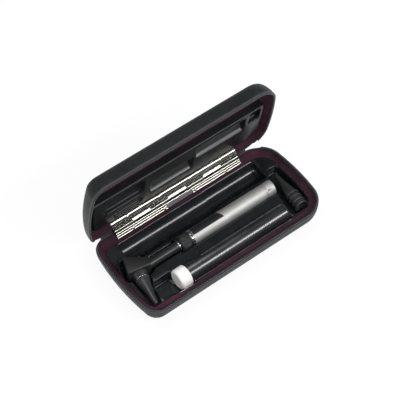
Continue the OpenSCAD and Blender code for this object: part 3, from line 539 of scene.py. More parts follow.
def stitches(name, height, body, place, pitch=3.1, inset=1.6):
    """Row of thread stitches sunk into a bound edge."""
    top = height - LIP_GAP / 2
    ring = case_ring(inset, inset, top - 0.1)
    path = [ring[k] for k in front_run(ring, REAR_CUT_Y - 2)]
    bm = bmesh.new()
    left = pitch * 0.5
    for a, b in zip(path, path[1:]):
        run = b - a
        while left < run.length:
            middle = a + run.normalized() * left
            turn = run.to_track_quat("X", "Z").to_matrix().to_4x4()
            made = bmesh.ops.create_uvsphere(bm, u_segments=8, v_segments=5, radius=1)["verts"]
            bmesh.ops.transform(bm, verts=made, matrix=Matrix.Translation(middle) @ turn
                                @ Matrix.Diagonal((*STITCH_HALF, 1)))
            left += pitch
        left -= run.length
    return piece(name, moved(bm, place), body, THREAD, sharp=80)


bound_edge("base_binding", BASE_H, "base", Matrix.Identity(4), "base_rim")
bound_edge("lid_binding", LID_H, "lid", LID_PLACE, "lid_rim")
stitches("base_stitches", BASE_H, "base", Matrix.Identity(4))
stitches("lid_stitches", LID_H, "lid", LID_PLACE)

# Velour linings


# The padding stays this far behind a hinge leaf
BED_GAP = 0.12


def rumple(p, scale, seed):
    return noise.noise(Vector((p.x, p.y, p.z)) * scale + Vector((seed, seed * 0.7, 0)))


def base_bed_z(y):
    """Height of the back of the hinge's base leaf, which the padding comes up to."""
    tilt = math.radians(BASE_LEAF_TILT)
    back = LEAF_T - KNUCKLE_R
    down = (HINGE_Y + back * math.cos(tilt) - y) / math.sin(tilt)
    return HINGE_Z - back * math.sin(tilt) - down * math.cos(tilt)


def hinge_share(x):
    """1 behind the hinge, falling to 0 over a short length beyond each of its ends."""
    along = min(x - (HINGE_X0 - HINGE_EASE), HINGE_X0 + HINGE_L + HINGE_EASE - x)
    return min(1.0, max(0.0, (along + HINGE_EASE) / HINGE_EASE))


def base_lining():
    top = BASE_H - LIP_GAP / 2 - BINDING_H
    foot = TRAY_Z - SHEET_T
    end_in, side_in = TRAY_END - 0.2, TRAY_SIDE - 0.2
    loops = [wall_ring(LINING_IN, BASE_CURVE, top, a) for a in (54, 36, 18, 0)]
    for k in range(17):
        a = math.radians(90 * k / 16)
        ring = case_ring(INNER_IN + (end_in - INNER_IN) * (1 - math.cos(a)),
                         INNER_IN + (side_in - INNER_IN) * (1 - math.cos(a)),
                         top - (top - foot) * math.sin(a))
        crown = math.sin(2 * a) ** 0.8 if 0 < k < 16 else 0
        for p in ring:
            middle = Vector((p.x * 0.93, p.y * 0.8, p.z + 9))
            puff = 0.55 * crown * (1 + 0.6 * rumple(p, 0.045, 3)) + 0.28 * crown * rumple(p, 0.16, 8)
            p += (middle - p).normalized() * puff
            if p.y > CASE_W / 2 - TRAY_SIDE + 0.2:
                p.z += max(0, base_bed_z(p.y) - BED_GAP - p.z) * hinge_share(p.x)
            if POCKET_X0 < p.x < POCKET_X1 and p.y < TUBE_Y:
                radial = Vector((0, p.y - TUBE_Y, p.z - AXIS_Z))
                if radial.length < POCKET_R:
                    radial = radial.normalized() * POCKET_R
                    p.y, p.z = TUBE_Y + radial.y, AXIS_Z + radial.z
        loops.append(ring)
    loops.append(case_ring(end_in, side_in, loops[0][0].z))
    bm = run_of_loops([rear_dip(r, BASE_H) for r in loops], closed=True)
    lining = piece("base_velour", bm, "base", VELOUR, ("base_lining",), sharp=75)
    return lining


def lid_lining():
    """Velour over the lid's wall and crown, with the padding that the hinge's lid leaf lies on."""
    top = LID_H - LIP_GAP / 2 - BINDING_H
    outer = [wall_ring(LINING_IN, LID_CURVE, top, a) for a in (0, 18, 36, 54, 72, 90)]
    inner = []
    for k in range(13):
        a = 90 * k / 12
        ring = wall_ring(INNER_IN, LID_CURVE, top, a)
        crown = math.sin(2 * math.radians(a)) ** 0.8 if 0 < k < 12 else 0
        inner.append([p + (Vector((p.x * 0.93, p.y * 0.85, p.z + 9)) - p).normalized() * 0.7 * crown
                      * (1 + 0.7 * rumple(p, 0.05, 15)) for p in ring])
    for d in (3, 7, 12, 18, 25, 33, 41):
        ring = case_ring(INNER_IN + LID_CURVE + d, INNER_IN + LID_CURVE + d, INNER_IN)
        inner.append([p + Z * (0.35 + 0.45 * rumple(p, 0.05, 21) + 0.2 * rumple(p, 0.17, 5)) for p in ring])
    for ring in inner:
        for p in ring:
            # Padding under the leaf, as high as the leaf's back, in the lid's own lying frame
            if p.y > CASE_W / 2 - TRAY_SIDE + 0.1:
                p.z += max(0, lid_bed_z(p.y) - BED_GAP - p.z) * hinge_share(p.x)
    bm = run_of_loops([rear_dip(r, LID_H) for r in [*reversed(outer), *inner]])
    lining = piece("lid_velour", moved(bm, LID_PLACE), "lid", VELOUR, ("lid_lining",), sharp=75)
    return lining


def lid_bed_z(y):
    """Height, in the lid lying open side up, of the back of its leaf."""
    tilt = math.radians(LID_LEAF_TILT)
    back = LEAF_T - KNUCKLE_R
    up = (HINGE_Y + back * math.cos(tilt) - y) / math.sin(tilt)
    shut_z = HINGE_Z + back * math.sin(tilt) + up * math.cos(tilt)
    return BASE_H + LID_H - shut_z


base_lining()
lid_lining()

# Formed sheets


# Cell of the grid that a sheet is formed on, and how often its corners are relaxed
FORMING_GRID, FORMING_ROUNDS = 0.95, 8
# Step over which a slope is measured
PROBE = 0.05


def box_blank(x0, y0, z0, x1, y1, z1):
    bm = bmesh.new()
    bmesh.ops.create_cube(bm, size=1)
    return moved(bm, Matrix.Translation(((x0 + x1) / 2, (y0 + y1) / 2, (z0 + z1) / 2))
                 @ Matrix.Diagonal((x1 - x0, y1 - y0, z1 - z0, 1)))


def rod(x0, x1, r, y, z, r_end=None):
    """Round cutter lying along X, tapering to r_end."""
    bm = bmesh.new()
    bmesh.ops.create_cone(bm, cap_ends=True, segments=56, radius1=r, radius2=r_end or r, depth=x1 - x0)
    return moved(bm, Matrix.Translation(((x0 + x1) / 2, y, z)) @ Matrix.Rotation(math.radians(90), 4, "Y"))


def rounded(plan, radius, steps=7):
    """Plan with an arc of the radius at each corner."""
    points, out = [Vector(p) for p in plan], []
    for k, corner in enumerate(points):
        u = (points[k - 1] - corner).normalized()
        v = (points[(k + 1) % len(points)] - corner).normalized()
        half = math.acos(max(-1, min(1, u.dot(v)))) / 2
        centre = corner + (u + v).normalized() * radius / math.sin(half)
        reach = radius / math.tan(half)
        a, b = corner + u * reach - centre, corner + v * reach - centre
        turn = math.atan2(a.x * b.y - a.y * b.x, a.dot(b))
        for t in range(steps + 1):
            out.append(tuple(centre + Matrix.Rotation(turn * t / steps, 2) @ a))
    return out


def prism(plan, radius, z0, z1, place=None):
    """Upright cutter over a plan with rounded corners."""
    bm = bmesh.new()
    face = bm.faces.new([bm.verts.new((x, y, z0)) for x, y in rounded(plan, radius)])
    top = bmesh.ops.extrude_face_region(bm, geom=[face])["geom"]
    raised = [v for v in top if isinstance(v, bmesh.types.BMVert)]
    bmesh.ops.translate(bm, vec=(0, 0, z1 - z0), verts=raised)
    bmesh.ops.recalc_face_normals(bm, faces=bm.faces)
    return moved(bm, place) if place else bm


def flat_edges(bm):
    return [e for e in bm.edges if abs(e.verts[0].co.z - e.verts[1].co.z) < 0.01]


def eased(bm, radius, segments):
    """Upright block with its top and bottom edges rounded."""
    bmesh.ops.bevel(bm, geom=flat_edges(bm), offset=radius, segments=segments, affect="EDGES",
                    profile=0.5, material=-1)
    return bm


def grown(plan, g):
    """Convex plan, anticlockwise, with each edge moved out by g."""
    points = [Vector(p) for p in plan]
    out = []
    for k, p in enumerate(points):
        u = (points[k - 1] - p).normalized()
        v = (points[(k + 1) % len(points)] - p).normalized()
        half = math.acos(max(-1, min(1, u.dot(v)))) / 2
        out.append(tuple(p - (u + v).normalized() * g / math.sin(half)))
    return out


def formed_mesh(blank, cutters):
    """A block with its pockets cut, remeshed and relaxed as a sheet drawn hot over a mould would be."""
    block = object_of(blank, "blank")
    spare = []
    for k, cutter in enumerate(cutters):
        tool = object_of(cutter, f"cutter_{k}")
        spare.append(tool)
        cut = block.modifiers.new(f"cut_{k}", "BOOLEAN")
        cut.operation, cut.solver, cut.object = "DIFFERENCE", "EXACT", tool
    remesh = block.modifiers.new("remesh", "REMESH")
    remesh.mode, remesh.voxel_size = "VOXEL", FORMING_GRID
    relax = block.modifiers.new("relax", "SMOOTH")
    relax.factor, relax.iterations = 0.5, FORMING_ROUNDS
    seen = block.evaluated_get(bpy.context.evaluated_depsgraph_get())
    bm = bmesh.new()
    bm.from_mesh(seen.to_mesh())
    seen.to_mesh_clear()
    for made in (block, *spare):
        data = made.data
        bpy.data.objects.remove(made)
        bpy.data.meshes.remove(data)
    return bm


def outside(x, y, end_in, side_in):
    """How far a point lies outside the case's outline drawn in by end_in and side_in; negative within."""
    x /= bowed(y)
    r = max((CORNER_RIGHT if x > 0 else CORNER_LEFT) - (end_in + side_in) / 2, LEAST_CORNER)
    dx = abs(x) - (CASE_L / 2 - end_in - r)
    dy = abs(y) - (CASE_W / 2 - side_in - r)
    return math.hypot(max(dx, 0), max(dy, 0)) + min(max(dx, dy), 0) - r


def outward(p, end_in, side_in):
    """Direction in plan in which a point leaves the outline."""
    past = outside(p.x, p.y, end_in, side_in)
    return Vector((outside(p.x + PROBE, p.y, end_in, side_in) - past,
                   outside(p.x, p.y + PROBE, end_in, side_in) - past, 0)).normalized()


def drawn_in(bm, end_in, side_in):
    """Points of an upright cutter that pass the outline drawn in by these amounts come back to it."""
    long = [e for e in flat_edges(bm) if e.calc_length() > 6]
    bmesh.ops.subdivide_edges(bm, edges=long, cuts=9)
    for v in bm.verts:
        past = outside(v.co.x, v.co.y, end_in, side_in)
        if past > 0:
            v.co -= outward(v.co, end_in, side_in) * past
    return bm


def faced(bm, direction):
    """Open surface with its normals made to agree, and to face along the direction on the whole."""
    bmesh.ops.recalc_face_normals(bm, faces=bm.faces)
    if sum(f.normal.dot(direction) * f.calc_area() for f in bm.faces) < 0:
        bmesh.ops.reverse_faces(bm, faces=bm.faces)
    return bm


def trimmed(bm, past_edge, low, within):
    """Formed sheet without what lies lower than low or past its edge. Its ragged rim, where it is
    within this distance of the edge, is drawn onto it."""
    far = {v for v in bm.verts if past_edge(v.co) > 0 or v.co.z < low}
    waste = [f for f in bm.faces if all(v in far for v in f.verts)]
    bmesh.ops.delete(bm, geom=waste, context="FACES")
    bmesh.ops.delete(bm, geom=[v for v in bm.verts if not v.link_faces], context="VERTS")
    for v in bm.verts:
        past = past_edge(v.co)
        if past > 0 or (v.is_boundary and past > -within):
            slope = Vector((past_edge(v.co + X * PROBE) - past, past_edge(v.co + Y * PROBE) - past, 0))
            if slope.length > 0.1 * PROBE:
                v.co -= slope.normalized() * past
    return faced(bm, Z)


# The tray's head pocket and the wells follow the case's outline, this much further in
WELL_IN = 1.3
# Plan of the head, from the neck's axis to its slanted rear face
HEAD_PLAN = [(-14, 0), (14, 0), (17.2, 9), (-9.4, 23.7)]
WELL_PLAN = [(85.6, -36), (86.6, -43.4), (108, -43.4), (116.4, -36), (116.4, 24), (99.6, 24)]
FINGER_PLAN = [(-97.5, -44.6), (-71, -44.6), (-71, -19), (-97.5, -19)]


def tray():
    top = TRAY_Z + 3
    head_pocket = prism(grown(HEAD_PLAN, 3.2), 4, 5.2 - AXIS_Z, 3, HEAD_FRAME)
    well_in = (TRAY_END + WELL_IN, TRAY_SIDE + WELL_IN)
    cutters = [
        rod(-45.5, 92.5, 10.2, AXIS_Y, AXIS_Z),
        rod(HEAD_X, -44, 7.75, AXIS_Y, AXIS_Z),
        drawn_in(head_pocket, *well_in),
        moved(rod(-1, NOSE_L + SPECULUM_L + 3, 11.2, 0, 0, 5.4), NOSE_FRAME),
        rod(-72, 83, 11.2, TUBE_Y, AXIS_Z),
        rod(-81.5, -58.1, 13.0, TUBE_Y, AXIS_Z),
        prism(FINGER_PLAN, 6, 5.2, top),
        rod(-97, 23, 15.4, 29.5, 20.8),
        rod(23, 96, 14.0, 30.9, 19.4),
        drawn_in(prism(WELL_PLAN, 6.5, 6.2, top), *well_in),
    ]

    def past_edge(p):
        """How far a point lies outside the tray, whose edge runs out round the cap's pocket."""
        pocket = max(abs(p.x - POCKET_MIDDLE) - POCKET_HALF_L, abs(p.y - TUBE_Y) - POCKET_HALF_W)
        return min(outside(p.x, p.y, TRAY_END, TRAY_SIDE), pocket)

    bm = trimmed(formed_mesh(box_blank(-122, -52, 2, 122, 50, TRAY_Z), cutters), past_edge, 3.6, math.inf)
    return piece("formed_tray", bm, "base", TRAY, ("base_tray",), sharp=55, turn_out=False,
                 sheet=0.75)


def insert():
    """Formed insert of the lid, made with the lid lying open side up."""
    face, floor = LID_H - 7.6, INNER_IN

    def channel(x0, x1, r, y):
        return rod(x0, x1, r, y, floor + SHEET_T + r)

    def recess(x0, y0, x1, y1, corner, depth):
        return prism([(x0, y0), (x1, y0), (x1, y1), (x0, y1)], corner, face - depth, face + 3)

    def past_edge(p):
        return outside(p.x, p.y, TRAY_END, TRAY_SIDE)

    cutters = [channel(-38, 20, 13, 21), channel(24, 92, 12.5, 4), recess(98, -12, 114, 10, 3, 7),
               recess(-100, -8, -48, 22, 5, 6), recess(-88, 29, -50, 40, 3, 4)]
    blank = box_blank(-122, -14, -2, 122, 50, face)
    bm = moved(trimmed(formed_mesh(blank, cutters), past_edge, floor + 0.4, 1.5), LID_PLACE)
    # The lid's place mirrors the sheet, which turns it inside out
    bmesh.ops.reverse_faces(bm, faces=bm.faces)
    return piece("formed_insert", bm, "lid", INSERT, ("lid_insert",), sharp=55, turn_out=False,
                 sheet=0.7)


tray()
insert()

# Hinge

BASE_LEAF = (Matrix.Translation((0, HINGE_Y, HINGE_Z))
             @ Matrix.Rotation(math.radians(-BASE_LEAF_TILT), 4, "X"))
LID_LEAF = (OPENED @ Matrix.Translation((0, HINGE_Y, HINGE_Z))
            @ Matrix.Rotation(math.radians(LID_LEAF_TILT), 4, "X"))
PITCH = HINGE_L / KNUCKLES
LEAF_FOOT, BASE_LEAF_W, LID_LEAF_W = 2.36, 9.6, 15.6
# Plans of the leaves: along the pin, and away from it
BASE_LEAF_PLAN = [(0, LEAF_FOOT), (0, BASE_LEAF_W), (HINGE_L, BASE_LEAF_W), (HINGE_L, LEAF_FOOT)]
LID_LEAF_PLAN = [(0, LEAF_FOOT), (HINGE_L, LEAF_FOOT), (HINGE_L, LID_LEAF_W * 0.7), (HINGE_L - 5, LID_LEAF_W),
                 (HINGE_L * 0.68, LID_LEAF_W), (HINGE_L * 0.65, LID_LEAF_W * 0.93),
                 (HINGE_L * 0.34, LID_LEAF_W * 0.93), (HINGE_L * 0.24, LID_LEAF_W * 0.79),
                 (HINGE_L * 0.03, LID_LEAF_W * 0.79), (0, LID_LEAF_W * 0.62)]
# Beads pressed along the leaves: distance from the pin, and how far each stands out
BASE_BEADS = [(3.6, 0.3), (5.3, -0.25), (8.7, 0.2)]
LID_BEADS = [(3.5, 0.3), (5.1, -0.28), (6.5, 0.3), (10.7, 0.26), (12.6, -0.22)]
BEAD_HALF, KNUCKLE_GAP, TAB_H = 0.55, 0.15, 3.2
# Tabs stand this far inside the leaf's faces, so that no two faces share a plane
TAB_IN, TAB_END_IN = 0.03, 0.04


def leaf(name, node, body, place, plan, beads, first, sign):
    """Pressed leaf that lies to one side of the pin, by sign, with every other rolled knuckle."""
    bm = bmesh.new()
    bm.faces.new([bm.verts.new((HINGE_X0 + x, -KNUCKLE_R, sign * z)) for x, z in plan])
    for at, height in beads:
        for z in (at - BEAD_HALF, at, at + BEAD_HALF):
            bmesh.ops.bisect_plane(bm, geom=bm.verts[:] + bm.edges[:] + bm.faces[:],
                                   plane_co=(0, 0, sign * z), plane_no=Z)
        for v in bm.verts:
            if abs(v.co.z - sign * at) < 0.01:
                v.co.y -= height
    faced(bm, -Y)
    bmesh.ops.solidify(bm, geom=bm.faces[:], thickness=LEAF_T)
    for k in range(first, KNUCKLES, 2):
        x0, x1 = HINGE_X0 + k * PITCH + KNUCKLE_GAP, HINGE_X0 + (k + 1) * PITCH - KNUCKLE_GAP
        join_into(bm, box_blank(x0 + TAB_END_IN, TAB_IN - KNUCKLE_R, min(0, sign * TAB_H),
                                x1 - TAB_END_IN, LEAF_T - KNUCKLE_R - TAB_IN, max(0, sign * TAB_H)))
        roll = softened([(1.26, 0), (KNUCKLE_R, 0), (KNUCKLE_R, x1 - x0), (1.26, x1 - x0)], 0.25)
        join_into(bm, along_x(spun(roll, 40), x0, 0, 0))
    return piece(name, moved(bm, place), body, STEEL, (node,), sharp=30, bevel=0.09)


def hinge_rod():
    length = HINGE_L + 1.2
    bm = spun(softened([(0, 0), (1.2, 0), (1.2, length), (0, length)], 0.4), 32)
    return piece("hinge_rod", along_x(bm, HINGE_X0 - 0.6, HINGE_Y, HINGE_Z), "base", STEEL,
                 ("hinge_pin",))


leaf("hinge_base_leaf", "hinge_leaf_base", "base", BASE_LEAF, BASE_LEAF_PLAN, BASE_BEADS, 0, -1)
leaf("hinge_lid_leaf", "hinge_leaf_lid", "lid", LID_LEAF, LID_LEAF_PLAN, LID_BEADS, 1, 1)
hinge_rod()


def rivets(name, node, body, place, at):
    """Four domed rivets and their shanks, in a leaf's face at one distance from the pin."""
    profile = [(0, 0.7), (0.8, 0.67), (1.45, 0.5), (1.85, 0.24), (2.0, 0.0), (1.0, 0.0), (1.0, -3.8),
               (0, -3.8)]
    bm = bmesh.new()
    for k in range(4):
        seat = Matrix.Translation((HINGE_X0 + HINGE_L * (2 * k + 1) / 8, -KNUCKLE_R, at))
        join_into(bm, moved(spun(profile, 28), place @ seat @ Matrix.Rotation(math.radians(-90), 4, "Z")))
    return piece(name, bm, body, RIVET_STEEL, (node,), sharp=50)


rivets("base_rivets", "hinge_rivets_base", "base", BASE_LEAF, -7)
rivets("lid_rivets", "hinge_rivets_lid", "lid", LID_LEAF, 8.4)


def snap_spring():
    """Flat spring on the base leaf's face, behind its middle."""
    middle, half = HINGE_X0 + HINGE_L / 2, PITCH - 7
    bm = box_blank(middle - half, -KNUCKLE_R - 0.5, -8.8, middle + half, -KNUCKLE_R, -3.16)
    return piece("snap_spring", moved(bm, BASE_LEAF), "base", SPRING, ("hinge_spring",),
                 sharp=30, bevel=0.2)


snap_spring()


SPINE_X0, SPINE_X1 = -109.0, 98.0


def spine():
    """Leatherette spine behind the pin, between the base and the lid; it is made in one fixed shape and rides
    on no body.
    """
    low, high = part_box("hinge_cover")
    rear, foot, top = high.y / MM, low.z / MM, high.z / MM
    loops = []
    for k in range(41):
        x = SPINE_X0 + (SPINE_X1 - SPINE_X0) * k / 40
        wave = 0.08 * math.sin(x * 0.11) + 0.06 * math.sin(x * 0.31)
        section = [(59.0, foot + 0.02), (59.8, foot + 0.02), (60.3 + wave, foot + 0.7),
                   (rear - 0.12 + wave * 0.5, top - 0.9), (rear - 0.02, top - 0.1), (rear - 0.85, top - 0.05),
                   (59.75, top - 0.7), (59.3, foot + 1.2)]
        loops.append([Vector((x, y, z)) for y, z in section])
    made = piece("spine_leather", run_of_loops(loops), None, LEATHER, ("hinge_cover",),
                 sharp=60)
    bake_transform(made)
    return made


spine()

# Otoscope


def turned_piece(name, node, body, profile, x0, y, z, material, soft=0.35, steps=72):
    bm = spun(softened(profile, soft), steps)
    return piece(name, along_x(bm, x0, y, z), body, material, (node,), sharp=34)


turned_piece("handle_barrel", "handle_tube", "otoscope",
             [(7.7, 0), (9.2, 0), (9.2, 103), (8.4, 103), (8.4, 97), (7.7, 97)],
             HANDLE_X0, AXIS_Y, AXIS_Z, ALLOY)
turned_piece("handle_ring", "handle_end_ring", "otoscope",
             [(6, 0), (9.1, 0), (9.7, 0.6), (9.7, 3.0), (9.1, 3.6), (6, 3.6)],
             HANDLE_X0 - 3.6, AXIS_Y, AXIS_Z, CHROME)
turned_piece("neck_band", "neck_ring", "otoscope",
             [(6.0, 0), (6.5, 0), (7.0, 0.5), (7.0, 1.9), (6.6, 2.4), (6.0, 2.4)],
             NECK_RING_X0, AXIS_Y, AXIS_Z, CHROME)
turned_piece("neck_stem", "otoscope_neck", "otoscope",
             [(0, 19.3), (3.05, 19.3), (3.05, 0), (5.75, 0), (5.75, 8), (5.5, 14), (5.5, 34), (5.75, 42),
              (5.75, 43.6), (5.9, 43.6), (5.9, 63.6), (7.6, 63.6), (7.6, 64.1), (0, 64.1)],
             NECK_X0, AXIS_Y, AXIS_Z, BLACK, 0.3)


# The label's film, the degrees it covers from the top towards the rear, and its slanted right end
FILM_T, FILM_LIFT = 0.12, 0.02
LABEL_FROM, LABEL_TURN = -24, 132
LABEL_L, LABEL_SLANT = 43.4, 9.0


def label():
    """Bare film wrapped over the handle's upper side, its right end cut on the slant."""
    bm = bmesh.new()
    bmesh.ops.create_grid(bm, x_segments=44, y_segments=30, size=0.5)
    bmesh.ops.solidify(bm, geom=bm.faces[:], thickness=-FILM_T)
    for v in bm.verts:
        along, across = v.co.x + 0.5, v.co.y + 0.5
        angle = math.radians(LABEL_FROM + across * LABEL_TURN)
        r = HANDLE_R + FILM_LIFT + (FILM_T if v.co.z > 0.01 else 0.0)
        x = HANDLE_X0 + 0.45 + along * (LABEL_L - LABEL_SLANT * across)
        v.co = (x, AXIS_Y + r * math.sin(angle), AXIS_Z + r * math.cos(angle))
    return piece("handle_film", bm, "otoscope", LABEL, ("handle_label",), sharp=50)


label()


def collar():
    """Switch collar with a rib between each pair of grooves."""
    ribs, groove_depth = 28, 0.6
    # Share of the groove's depth at each point of a rib's turn
    rib = (0.0, 0.0, 0.25, 1.0, 1.0, 0.25)
    around = ribs * len(rib)
    # Distance along, radius, and whether the grooves run through
    stations = [(0.15, 6.0, 0), (0.15, 8.7, 0), (0.4, 9.2, 0), (1.15, 9.7, 0), (1.7, 9.7, 0), (2.2, 9.7, 1),
                (11.8, 9.7, 1), (12.3, 9.7, 0), (12.85, 9.7, 0), (13.6, 9.2, 0), (13.85, 8.7, 0),
                (13.85, 6.0, 0)]
    loops = []
    for x, outer, cut in stations:
        loop = []
        for k in range(around):
            r = outer - groove_depth * cut * rib[k % len(rib)]
            a = 2 * math.pi * k / around
            loop.append(Vector((x, r * math.sin(a), r * math.cos(a))))
        loops.append(loop)
    bm = along_x(run_of_loops(loops, closed=True), COLLAR_X0, AXIS_Y, AXIS_Z)
    return piece("ribbed_collar", bm, "switch", COLLAR, ("switch_collar",), sharp=40)


collar()


def tail():
    """Tail cap with a joint groove and four coin notches."""
    profile = [(0, 3), (7.5, 3), (7.5, -5.7), (8.32, -5.7), (8.32, 0.3), (8.3, 0.3), (8.3, 1.5), (9.2, 1.8),
               (9.2, 12.4), (8.7, 13.5), (7.6, 14), (0, 14)]
    bm = along_x(spun(softened(profile, 0.25), 96), HANDLE_X1, AXIS_Y, AXIS_Z)
    made = piece("tail_screw", bm, "tail", ALLOY, ("tail_cap",), sharp=34)
    groove = Matrix.Translation((HANDLE_X1 + 1, AXIS_Y, AXIS_Z))
    tools = bmesh.new()
    for k in range(4):
        turn = Matrix.Rotation(math.radians(38 + 90 * k), 4, "X")
        join_into(tools, moved(box_blank(0, -1.2, 8.1, 3.2, 1.2, 11), groove @ turn))
    carve(made, tools)
    return made


def carve(made, tools):
    """Cuts tool shapes, given in millimetres, out of a finished piece."""
    bmesh.ops.scale(tools, vec=(MM, MM, MM), verts=tools.verts)
    tool = object_of(tools, "tool")
    cut = made.modifiers.new("cut", "BOOLEAN")
    cut.operation, cut.solver, cut.object = "DIFFERENCE", "EXACT", tool
    bpy.context.view_layer.update()
    seen = made.evaluated_get(bpy.context.evaluated_depsgraph_get())
    mesh = bpy.data.meshes.new_from_object(seen)
    old = made.data
    made.modifiers.clear()
    made.data = mesh
    mesh.name = old.name
    bpy.data.meshes.remove(old)
    data = tool.data
    bpy.data.objects.remove(tool)
    bpy.data.meshes.remove(data)


tail()


def head():
    """Head with rounded edges and the sight way bored through it, its nose and the nose's band."""
    bm = moved(eased(prism(HEAD_PLAN, 2.0, -12.5, 12.5), 1.6, 4), HEAD_FRAME)
    made = piece("head_block", bm, "otoscope", BLACK, ("otoscope_head",), sharp=34)
    carve(made, moved(rod(-40, 24, 4.4, 0, 0), NOSE_FRAME))
    nose = softened([(4.4, -1.6), (10.2, -1.6), (10.2, 0), (8.0, 5.9), (6.3, 5.9), (6.3, 7.7), (4.9, 16.7),
                     (3.8, 16.7)], 0.5)
    piece("head_nose", moved(spun(nose, 64), NOSE_FRAME), "otoscope", BLACK, sharp=34)
    band = softened([(6.3, 5.9), (8.0, 5.9), (8.45, 6.35), (8.45, 7.07), (8.0, 7.43), (6.3, 7.43)], 0.2)
    piece("nose_band", moved(spun(band, 64), NOSE_FRAME), "otoscope", CHROME, ("nose_ring",))


head()


def cone_profile(start):
    """Speculum from its flange to its tip, slightly waisted, open at both ends."""
    wall, flange, least_bore, steps = 0.7, 1.6, 1.5, 14
    outer, inner = [], []
    for k in range(steps + 1):
        t = k / steps
        x = start + flange + (SPECULUM_L - flange) * t
        r = SPECULUM_R + (SPECULUM_TIP_R - SPECULUM_R) * t - 0.55 * math.sin(math.pi * t)
        outer.append((r, x))
        inner.append((max(r - wall, least_bore), x))
    tip = [(SPECULUM_TIP_R - 0.12, start + SPECULUM_L - 0.05), (SPECULUM_TIP_R - 0.45, start + SPECULUM_L)]
    rim = [(SPECULUM_R - wall, start), (SPECULUM_R + 0.35, start), (SPECULUM_R + 0.5, start + 0.15),
           (SPECULUM_R + 0.5, start + flange - 0.25), (SPECULUM_R + 0.35, start + flange)]
    return rim + outer[:-1] + tip + inner[::-1]


piece("fitted_cone", moved(spun(cone_profile(NOSE_L + 0.3), 64), NOSE_FRAME), "fitted_speculum", CONE,
      ("speculum",), sharp=45)

# Slanted rear face of the head: along the face, up, and out of it
REAR_A, REAR_B = Vector(HEAD_PLAN[2]), Vector(HEAD_PLAN[3])
REAR_L = (REAR_B - REAR_A).length
SIGHT_AT = REAR_A.x * REAR_L / (REAR_A.x - REAR_B.x)
REAR_FACE = (HEAD_FRAME @ Matrix.Translation((REAR_A.x, REAR_A.y, 0))
             @ Matrix.Rotation(math.atan2(REAR_B.y - REAR_A.y, REAR_B.x - REAR_A.x), 4, "Z")
             @ Matrix.Rotation(math.radians(90), 4, "X"))


def on_rear_face(x, y, out, turn):
    """Stands what was turned along X on the rear face, its axis along the way out of it."""
    return REAR_FACE @ Matrix.Translation((x, y, out)) @ Matrix.Rotation(math.radians(turn), 4, "Y")


def lens_parts():
    """Square magnifier frame with a round window, its glass, and the corner pivot it swings on."""
    half_l, half_w, glass_at = 10, 8, -1.3
    x0, pivot_x, pivot_y = SIGHT_AT - half_l, SIGHT_AT - half_l + 3, 5
    plan = [(x0, -half_w), (x0 + 2 * half_l, -half_w), (x0 + 2 * half_l, half_w), (x0, half_w)]
    bm = moved(eased(prism(plan, 2.6, -2.3, -0.3), 0.4, 2), REAR_FACE)
    made = piece("magnifier_frame", bm, "lens", BLACK, ("lens_frame",), sharp=40)
    tools = bmesh.new()
    for x, y, r in ((SIGHT_AT, 0, 6.0), (pivot_x, pivot_y, 1.58)):
        join_into(tools, moved(rod(-4, 4, r, 0, 0), on_rear_face(x, y, glass_at, 90)))
    carve(made, tools)
    dome = [(0, -0.95), (3, -0.86), (5.0, -0.7), (5.98, -0.5), (5.98, 0.5), (5.0, 0.7), (3, 0.86), (0, 0.95)]
    glass = moved(spun(dome, 48), on_rear_face(SIGHT_AT, 0, glass_at, 90))
    piece("magnifier_glass", glass, "lens", LENS_GLASS, ("magnifier_lens",), sharp=50)
    shank = [(0, 5), (1.0, 5), (1.0, 0), (1.5, 0), (1.5, -2.5), (2.3, -2.5), (2.3, -2.9), (1.9, -3.25),
             (0, -3.3)]
    pin = moved(spun(shank, 32), on_rear_face(pivot_x, pivot_y, 0, -90))
    piece("magnifier_pivot", pin, "otoscope", CHROME, ("lens_pivot",), sharp=40)


lens_parts()

# Storage tube and spares

turned_piece("storage_barrel", "storage_tube", "tube",
             [(0, 145.3), (9.5, 145.3), (9.5, 0), (10.7, 0), (10.7, 143.5), (9.8, 145.6), (7.7, 146.5),
              (0, 146.5)],
             TUBE_X0, TUBE_Y, AXIS_Z, TUBE, 0.8)


def white_cap():
    """Push-on cap with a rounded crown and a soft rim."""
    profile = [(0, 0.35), (5, 0.25), (8.6, 0.05), (10.1, 0.1), (11.4, 0.75), (12.2, 1.9), (12.5, 3.3),
               (12.5, 12.4), (12.2, 13.6), (11.5, 14.4), (11.0, 14.4), (11.0, 8.7), (9.2, 8.7), (9.2, 1.6),
               (0, 1.6)]
    bm = along_x(spun(softened(profile, 0.4), 80), CAP_X0, TUBE_Y, AXIS_Z)
    return piece("cap_white", bm, "tube_cap", WHITE, ("storage_tube_cap",), sharp=40)


white_cap()
SPARES = Matrix.Translation((106.6, 13, 16)) @ Matrix.Rotation(math.radians(-4.6), 4, "Z")
SPARE_STEP = 6
for nested in range(4):
    # Each cone's flange lies a step further along -Y, and its tip points back along +Y
    nest = SPARES @ Matrix.Translation((0, -SPECULUM_L - nested * SPARE_STEP, 0))
    cone = moved(spun(cone_profile(0), 56), nest @ Matrix.Rotation(math.radians(90), 4, "Z"))
    piece(f"spare_cone_{nested + 1}", cone, "spares", CONE,
          (f"spare_speculum_{nested + 1}",), sharp=45)

# Nodes that stay as they are

KEPT = {"base_shell": SHELL, "lid_shell": SHELL, "batteries": CELL, "lamp": LAMP_GLASS, "tail_spring": SPRING}
for node, material in KEPT.items():
    mesh = cad_nodes[node].data
    mesh.materials.clear()
    mesh.materials.append(material)

bpy.context.scene.view_settings.view_transform = "Standard"

# Floor, background and light


WHITE_LIGHT = (1, 1, 1, 1)
# Share of the floor's look that is plain white, where camera, gloss or glass sees it
FLOOR_GLOW = 0.9
# Stands just under the case's feet
FLOOR_DROP = 0.0002


